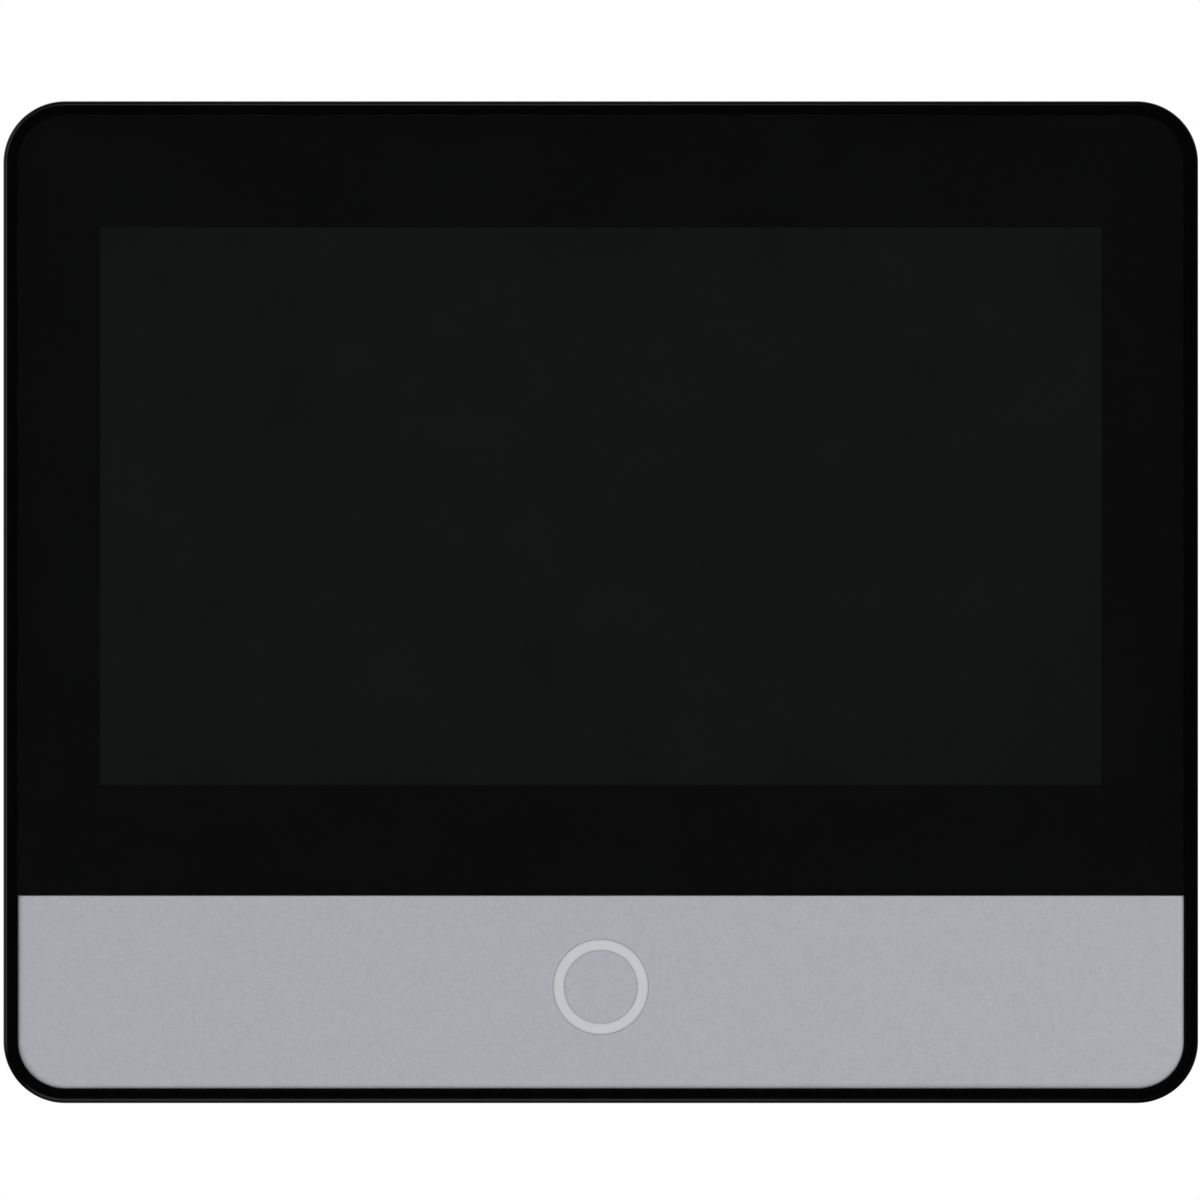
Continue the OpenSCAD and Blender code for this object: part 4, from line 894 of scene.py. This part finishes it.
COVER_WALL = 2.0
COVER_FLOOR = -1.4
COVER_SKIN = -0.41
COVER_FRONT = -11.0
RECESS_W, RECESS_H, RECESS_R, RECESS_Y = 118, 92.5, 7, -4.4
BAY_W, BAY_H, BAY_R, BAY_WALL = 56, 44, 2, 1.6
ROOM_Y = -3.4
POCKET_Y = -7.4
SPEAKER_SEAT = -4.4
SPEAKER_STEPS = 80
# Where cuts end, clear of the shape: in front of the tub, and behind it.
INSIDE, OUTSIDE = -12, 1


def rear_cover_inside(made):
    """Adds what stands on the tub's floor: recess, bosses, posts, bay wall and the speaker's seat."""
    sx, sz = SPEAKER
    solid = bmesh.new()
    shell(solid, RECESS_W + 2 * COVER_WALL, RECESS_H + 2 * COVER_WALL, RECESS_R + COVER_WALL,
          [(0, RECESS_Y - COVER_WALL), (0, COVER_SKIN)], RECESS_Z)
    shell(solid, BAY_W + 2 * BAY_WALL, BAY_H + 2 * BAY_WALL, BAY_R + BAY_WALL, [(0, -10.7), (0, -5.4)])
    for places, front, r in ((CORNER_SCREWS, COVER_FRONT, 4.2), (BOARD_POSTS, COVER_FRONT, 2.8),
                             (CLAMP_POSTS, -10, 2.4)):
        for x, z in places:
            bar(solid, x, z, front, COVER_FLOOR, r)
    bar(solid, sx, sz, POCKET_Y, COVER_SKIN, 16.5, SPEAKER_STEPS)
    block(solid, (sx - 10, sx + 10), (SPEAKER_SEAT, COVER_SKIN), (-83.69, sz))
    combine(made, solid, "UNION")
    seat = bmesh.new()
    bar(seat, sx, sz, POCKET_Y - 0.6, SPEAKER_SEAT, 15.3, SPEAKER_STEPS)
    combine(made, seat, "DIFFERENCE")


def rear_cover_cuts(made):
    """Cuts the bracket's recess, the wiring bay, screw holes, the sound outlet and the label's place."""
    cut = bmesh.new()
    shell(cut, RECESS_W, RECESS_H, RECESS_R, [(0, RECESS_Y), (0, OUTSIDE)], RECESS_Z)
    shell(cut, BAY_W, BAY_H, BAY_R, [(0, COVER_FRONT), (0, ROOM_Y)])
    slot_half = HOOK_HALF + 0.5
    for x in (-HOOK_X, HOOK_X):
        for neck in NECKS:
            block(cut, (x - slot_half, x + slot_half), (POCKET_Y, ROOM_Y), (neck - 6.5, neck + 1.4))
    bar(cut, *TAMPER, POCKET_Y, ROOM_Y, 2.3)
    shank_r, head_r = 1.65, 3
    for x, z in CORNER_SCREWS:
        turned(cut, x, z, [(shank_r, INSIDE), (shank_r, COVER_RIM_Y), (head_r, COVER_RIM_Y),
                           (head_r, OUTSIDE)])
    for x, z in BOARD_POSTS:
        bar(cut, x, z, INSIDE, -6.4, PILOT_R)
    for x, z in CLAMP_POSTS:
        bar(cut, x, z, COVER_FRONT, ROOM_Y, PILOT_R)
    shell(cut, 54, 24, 1.5, [(0, -0.6), (0, OUTSIDE)], LABEL[1], LABEL[0])
    combine(made, cut, "DIFFERENCE")
    sound = bmesh.new()
    pan = (-2.9, OUTSIDE)
    bar(sound, *SPEAKER, *pan, 13.5, SPEAKER_STEPS)
    block(sound, (SPEAKER[0] - 8, SPEAKER[0] + 8), pan, (body_low.z, SPEAKER[1]))
    combine(made, sound, "DIFFERENCE")


def rear_cover_slots(made):
    """Cuts the speaker's grille and the air slots in the top and bottom walls."""
    abs_grain = materials["rear_abs"]
    grille = grow("grille_cut", grille_tree(), {
        "Count": 9, "Pitch": 3.2, "Slot width": 1.6, "Radius": 11.6, "Depth": 3.5, "Material": abs_grain})
    grille.data.transform(stood_up(SPEAKER[0], -3.65, SPEAKER[1]))
    combine(made, grille, "DIFFERENCE")
    tree = slot_row_tree()
    depth = 12.0
    for name, count, x, z in (("top_slots", 21, -50, 57.65), ("bottom_slots", 12, 10, -85.65)):
        row = grow(name, tree, {
            "Count": count, "Pitch": 5.0, "Slot width": 1.6, "Slot height": 4.4, "Depth": depth,
            "Material": abs_grain})
        row.data.transform(Matrix.Translation((x, -5.4, z - depth / 2)))
        face_outwards(row)
        combine(made, row, "DIFFERENCE")


def rear_cover():
    """A tapered tub with a round back edge and a rim that closes the front frame."""
    rim, wall = 0.95, COVER_WALL
    w, h, r = tub_high.x - tub_low.x - 2 * rim, tub_high.z - tub_low.z - 2 * rim, COVER_R
    z = (tub_low.z + tub_high.z) / 2
    bm = bmesh.new()
    back_edge = [(u, -v) for u, v in arc(3.564, 1.9, 1.5, 180, 270, 12)]
    shell(bm, w, h, r, [(-rim, COVER_FRONT), (-rim, COVER_RIM_Y), (0, COVER_RIM_Y)] + back_edge
          + [(3.964, -0.4)], z)
    made = as_object("rear_cover_piece", bm)
    hollow = bmesh.new()
    shell(hollow, w - 2 * wall, h - 2 * wall, r - wall, [(0, INSIDE), (0, COVER_RIM_Y), (1.919, -2.4)], z)
    combine(made, hollow, "DIFFERENCE")
    rear_cover_inside(made)
    rear_cover_cuts(made)
    rear_cover_slots(made)
    clean(made)
    soften(made, 0.14, 2, 38)
    hand_in(made, "monitor", ["rear_cover"], "rear_abs")


# ---- Wall bracket ----


def hook_strip(bm, x, neck):
    """A hook lanced out of the plate: out, round a bend, and up."""
    t = PLATE_T
    front, top, bend_r, tip_r, inner_r = -7.9, neck + 6.7, 1.4, 0.3, 0.2
    path = [(neck + 2, 0), (neck + t, 0)]
    path += arc(neck + t, -t, t, 90, 180, 6)[1:]
    path += arc(neck + bend_r, front + bend_r, bend_r, 180, 270, 8)
    path += arc(top - tip_r, front + tip_r, tip_r, 270, 360, 3)
    path += arc(top - tip_r, front + t - tip_r, tip_r, 0, 90, 3)
    path += arc(neck + t + inner_r, front + t + inner_r, inner_r, 270, 180, 3)
    path += [(neck + t, -t), (neck + 2, -t)]
    loft(bm, [[(x + side, y, z) for z, y in path] for side in (-HOOK_HALF, HOOK_HALF)])


def wall_bracket():
    """A steel plate with pressed beads, a cable window, screw holes and four lanced hooks."""
    w, h, z = plate_high.x - plate_low.x, plate_high.z - plate_low.z, (plate_high.z + plate_low.z) / 2
    bead_z, hole_r = 37, 2.25
    through = (-3, OUTSIDE)
    bm = bmesh.new()
    shell(bm, w, h, 6, [(0, -PLATE_T), (0, 0)], z)
    made = as_object("wall_bracket_piece", bm)
    beads = bmesh.new()
    for side in SIDES:
        shell(beads, 62, 3, 1.45, [(1.3, -1.7), (0.95, -1.67), (0.6, -1.57), (0.3, -1.4), (0.1, -1.28),
                                   (0, -1.0)], side * bead_z, steps=10)
    combine(made, beads, "UNION")
    cut = bmesh.new()
    for side in SIDES:
        shell(cut, 61.2, 2.2, 1.05, [(0.95, -0.42), (0.7, -0.38), (0.4, -0.25), (0.1, -0.05), (0, 0.2)],
              side * bead_z, steps=10)
        shell(cut, 9, 4.2, 2.09, [(0, through[0]), (0, through[1])], 0, side * 30, steps=12)
        bar(cut, 0, side * 30, *through, hole_r)
        for up in SIDES:
            bar(cut, side * 52, up * 36, *through, hole_r)
        x = side * HOOK_X
        for neck in NECKS:
            block(cut, (x - HOOK_HALF - 1, x + HOOK_HALF + 1), through, (neck - 11, neck))
            block(cut, (x - HOOK_HALF, x + HOOK_HALF), through, (neck - 1, neck + PLATE_T))
    shell(cut, 48, 40, 3, [(0, through[0]), (0, through[1])])
    combine(made, cut, "DIFFERENCE")
    hooks = bmesh.new()
    for side in SIDES:
        for neck in NECKS:
            hook_strip(hooks, side * HOOK_X, neck)
    combine(made, hooks, "UNION")
    clean(made)
    soften(made, 0.12, 2, 38)
    hand_in(made, "wall_plate", ["wall_bracket"], "galvanised_steel")


# ---- Label, screws, lamps and spring ----


def rating_label():
    """The label plate, left bare."""
    w, h = label_high.x - label_low.x, label_high.z - label_low.z
    low, high = label_low.y, label_high.y
    bm = bmesh.new()
    edge = [(0.05, low), (0, low + 0.03), (0, high - 0.05), (0.02, high - 0.02), (0.06, high)]
    shell(bm, w, h, 1.2, edge, LABEL[1], LABEL[0])
    hand_in(as_object("rating_label_piece", bm), "monitor", ["rating_label"], "label_film")


def housing_screws():
    """Four screws that hold the rear cover, sunk in their pockets."""
    places = bpy.data.meshes.new("screw_places")
    places.from_pydata([(x, COVER_RIM_Y, z) for x, z in CORNER_SCREWS], [], [])
    made = grow("housing_screws_piece", screw_tree(), {
        "Head radius": 2.7, "Head height": 2.0, "Shank radius": 1.45, "Shank length": 10.0,
        "Recess width": 0.7, "Tilt": -math.pi / 2, "Seed": 4, "Material": materials["screw_black"]}, places)
    soften(made, 0.08, 2, 40)
    hand_in(made, "monitor", ["housing_screws"], "screw_black")


def ring_lamps():
    """Six small lamps under the light ring."""
    low, high = box_mm("ring_leds")
    made = grow("ring_leds_piece", lamp_ring_tree(), {
        "Count": 6, "Radius": 6.65, "Lamp size": 2.0, "Lamp height": high.y - low.y,
        "Material": materials["led"]})
    made.data.transform(stood_up(0, (low.y + high.y) / 2, KEY_Z))
    soften(made, 0.2, 3, 40)
    hand_in(made, "monitor", ["ring_leds"], "led")


def tamper_spring():
    """A coil under the tamper plunger."""
    low, high = box_mm("tamper_spring")
    wire = 0.17
    made = grow("tamper_spring_piece", coil_tree(), {
        "Turns": 3.0, "Radius": 2.1, "Height": high.y - low.y - 2 * wire, "Wire radius": wire,
        "Material": materials["spring_steel"]})
    made.data.transform(stood_up(TAMPER[0], high.y - wire, TAMPER[1]))
    face_outwards(made)
    hand_in(made, "monitor", ["tamper_spring"], "spring_steel", smooth=60)
    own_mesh(made)


rear_cover()
wall_bracket()
rating_label()
housing_screws()
ring_lamps()
tamper_spring()

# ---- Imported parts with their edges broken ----

# How much each part's edges are rounded, in mm.
BROKEN_EDGES = {
    "lcd_cell": 0.12, "lcd_backlight": 0.2, "lcd_tray": 0.1, "tray_screws": 0.06, "main_board": 0.08,
    "board_chips": 0.1, "shield_can": 0.15, "board_capacitors": 0.25, "board_connectors": 0.1,
    "board_screws": 0.06, "clock_battery": 0.1, "battery_holder": 0.1, "terminal_header": 0.2,
    "header_pins": 0.08, "terminal_plug": 0.2, "plug_screws": 0.06, "plug_clamps": 0.05,
    "tamper_switch": 0.15, "tamper_plunger": 0.15, "key_plunger": 0.1, "light_cup": 0.06, "key_board": 0.08,
    "key_switch": 0.1, "key_connector": 0.1, "key_board_screws": 0.06, "reset_switch": 0.1,
    "reset_button": 0.12, "microphone": 0.1, "microphone_boot": 0.08, "speaker_frame": 0.08,
    "speaker_magnet": 0.25, "speaker_clamp": 0.15, "clamp_screws": 0.06}


def broken_copy(node, slot, width):
    """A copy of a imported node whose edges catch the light."""
    packed = frame["nodes"][node]
    bm = bmesh.new()
    bm.from_mesh(packed.data)
    bmesh.ops.scale(bm, vec=(1 / MM, 1 / MM, 1 / MM), verts=bm.verts)
    made = as_object(node + "_piece", bm)
    clean(made)
    soften(made, width)
    hand_in(made, body_of(packed)[0], [node], slot)


for row in frame["record"]["subparts"]:
    if row["node"] in BROKEN_EDGES:
        broken_copy(row["node"], row["material_slot"], BROKEN_EDGES[row["node"]])

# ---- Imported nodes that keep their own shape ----


def dress_packed_nodes():
    """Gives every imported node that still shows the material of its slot."""
    for row in frame["record"]["subparts"]:
        node = frame["nodes"][row["node"]]
        if node.hide_render:
            continue
        made = materials[row["material_slot"]]
        if node.data.materials:
            for i in range(len(node.data.materials)):
                node.data.materials[i] = made
        else:
            node.data.materials.append(made)


dress_packed_nodes()

# ---- Studio ----

CAMERA_AWAY = 1.5
CAMERA_RIGHT = -0.000123
CAMERA_UP = 0.000331
VIEW_W = 0.18465
SENSOR = 36.0
FLOOR_DOWN = 0.3
FLOOR_HALF = 1.5


def camera():
    """Straight in front, level with the panel's middle."""
    data = bpy.data.cameras.new("camera")
    made = placed_object("camera", data)
    data.sensor_width = SENSOR
    data.lens = SENSOR * CAMERA_AWAY / VIEW_W
    data.clip_start = 0.05
    data.clip_end = 50.0
    made.location = (CAMERA_RIGHT, FRONT * MM - CAMERA_AWAY, BODY_Z * MM + CAMERA_UP)
    made.rotation_euler = (math.pi / 2, 0, 0)
    scene.camera = made


def seen_directly(tree):
    """1 for what the camera, gloss and glass look at, and 0 for light that falls on the object."""
    rays = add(tree, "LightPath")
    gloss = add(tree, "Math", {0: rays.outputs["Is Camera Ray"], 1: rays.outputs["Is Glossy Ray"]},
                operation="MAXIMUM")
    seen = add(tree, "Math", {0: gloss, 1: rays.outputs["Is Transmission Ray"]},
               operation="MAXIMUM")
    return seen.outputs[0]


def world():
    """White where it is looked at, and a soft grey light elsewhere."""
    made = bpy.data.worlds.new("studio")
    scene.world = made
    tree = blank(made)
    light = add(tree, "Background", {"Color": linear("#FFFFFF"), "Strength": 0.5})
    white = add(tree, "Background", {"Color": linear("#FFFFFF"), "Strength": 1.0})
    both = add(tree, "MixShader", {0: seen_directly(tree), 1: light, 2: white})
    add(tree, "OutputWorld", {"Surface": both})


def backdrop(name, corners):
    """A flat sheet that isn't part of the object. Returns it and its material's node tree."""
    mesh = bpy.data.meshes.new(name)
    mesh.from_pydata(corners, [], [(0, 1, 2, 3)])
    made = placed_object(name, mesh)
    paint = bpy.data.materials.new(name)
    mesh.materials.append(paint)
    return made, blank(paint)


def board(name, corners, level, fades):
    """A board that only gloss sees. Each fade dims it along an axis, from one place to another."""
    made, tree = backdrop(name, corners)
    place = add(tree, "TexCoord").outputs["Object"]
    parts = add(tree, "SeparateXYZ", {0: place})
    glow = add(tree, "Value").outputs[0]
    glow.default_value = level
    for axis, full, dim, least in fades:
        part = add(tree, "MapRange", {
            "Value": parts.outputs[axis], "From Min": full, "From Max": dim, "To Min": 1.0, "To Max": least},
            interpolation_type="SMOOTHSTEP")
        glow = add(tree, "Math", {0: glow, 1: part}, operation="MULTIPLY").outputs[0]
    emit = add(tree, "Emission", {"Strength": glow})
    add(tree, "OutputMaterial", {"Surface": emit})
    made.visible_camera = False
    made.visible_diffuse = False
    made.visible_shadow = False
    made.visible_volume_scatter = False


def boards():
    """Boards round the front that the gloss mirrors, bright where the rim catches light."""
    side, far, near, up, down = 0.8, 0.25, -1.9, 0.7, -0.29
    across, along, height = "X", "Y", "Z"
    for name, corners, level, fades in (
            ("left_board", [(-side, near, down), (-side, far, down), (-side, far, up), (-side, near, up)],
             0.62, [(along, -0.75, 0.15, 0.06), (along, -1.0, -1.3, 0.04), (height, -0.17, -0.26, 0.1)]),
            ("right_board", [(side, near, down), (side, near, up), (side, far, up), (side, far, down)],
             0.02, []),
            ("front_board", [(-side, near, down), (-side, near, up), (side, near, up), (side, near, down)],
             0.016, []),
            ("top_board", [(-side, near, up), (-side, far, up), (side, far, up), (side, near, up)],
             0.8, [(along, -1.0, -0.3, 0.08), (along, -1.2, -1.5, 0.04), (across, 0.0, 0.17, 0.08),
                   (across, -0.02, -0.3, 0.5)]),
            ("bottom_board", [(-side, near, down), (side, near, down), (side, far, down), (-side, far, down)],
             0.7, [(along, -0.4, 0.1, 0.08), (along, -0.45, -0.75, 0.05), (across, 0.0, 0.12, 0.1),
                   (across, -0.17, -0.3, 0.1)])):
        board(name, corners, level, fades)


def floor():
    """A pale floor that holds the object's shadow and fades to white far off, where it is looked at."""
    half, z = FLOOR_HALF, BODY_Z * MM - FLOOR_DOWN
    tree = backdrop("floor", [(-half, -half, z), (half, -half, z), (half, half, z), (-half, half, z)])[1]
    place = add(tree, "TexCoord").outputs["Object"]
    grain = add(tree, "TexNoise", {"Vector": place, "Scale": 30.0})
    tint = add(tree, "Mix", {0: grain, 6: linear("#E6E6E6"), 7: linear("#EAEAEA")},
               data_type="RGBA")
    shader = add(tree, "BsdfPrincipled", {"Base Color": tint.outputs[2], "Roughness": 0.8})
    white = add(tree, "Emission", {"Color": linear("#FFFFFF"), "Strength": 1.0})
    flat = add(tree, "VectorMath", {0: place, 1: (1, 1, 0)}, operation="MULTIPLY")
    away = add(tree, "VectorMath", {0: flat}, operation="LENGTH").outputs["Value"]
    far_off = add(tree, "MapRange", {"Value": away, "From Min": 0.15, "From Max": 1.1},
                  interpolation_type="SMOOTHSTEP")
    blend = add(tree, "Math", {0: far_off, 1: seen_directly(tree)}, operation="MULTIPLY")
    both = add(tree, "MixShader", {0: blend, 1: shader, 2: white})
    add(tree, "OutputMaterial", {"Surface": both})


def lamps():
    """Two large soft lamps, one in front and one behind, both aimed at the panel."""
    for name, place, size, power in (("key_lamp", (0.75, -1.3, 0.8), 1.2, 20.0),
                                     ("back_lamp", (-0.8, 1.2, 0.7), 1.0, 12.0)):
        data = bpy.data.lights.new(name, "AREA")
        data.shape = "SQUARE"
        data.size = size
        data.energy = power
        lamp = placed_object(name, data)
        lamp.location = place
        aim = Vector((0, 0, BODY_Z * MM)) - Vector(place)
        lamp.rotation_euler = aim.to_track_quat("-Z", "Y").to_euler()
        lamp.visible_glossy = False


camera()
world()
floor()
lamps()
boards()
scene.view_settings.view_transform = "Standard"
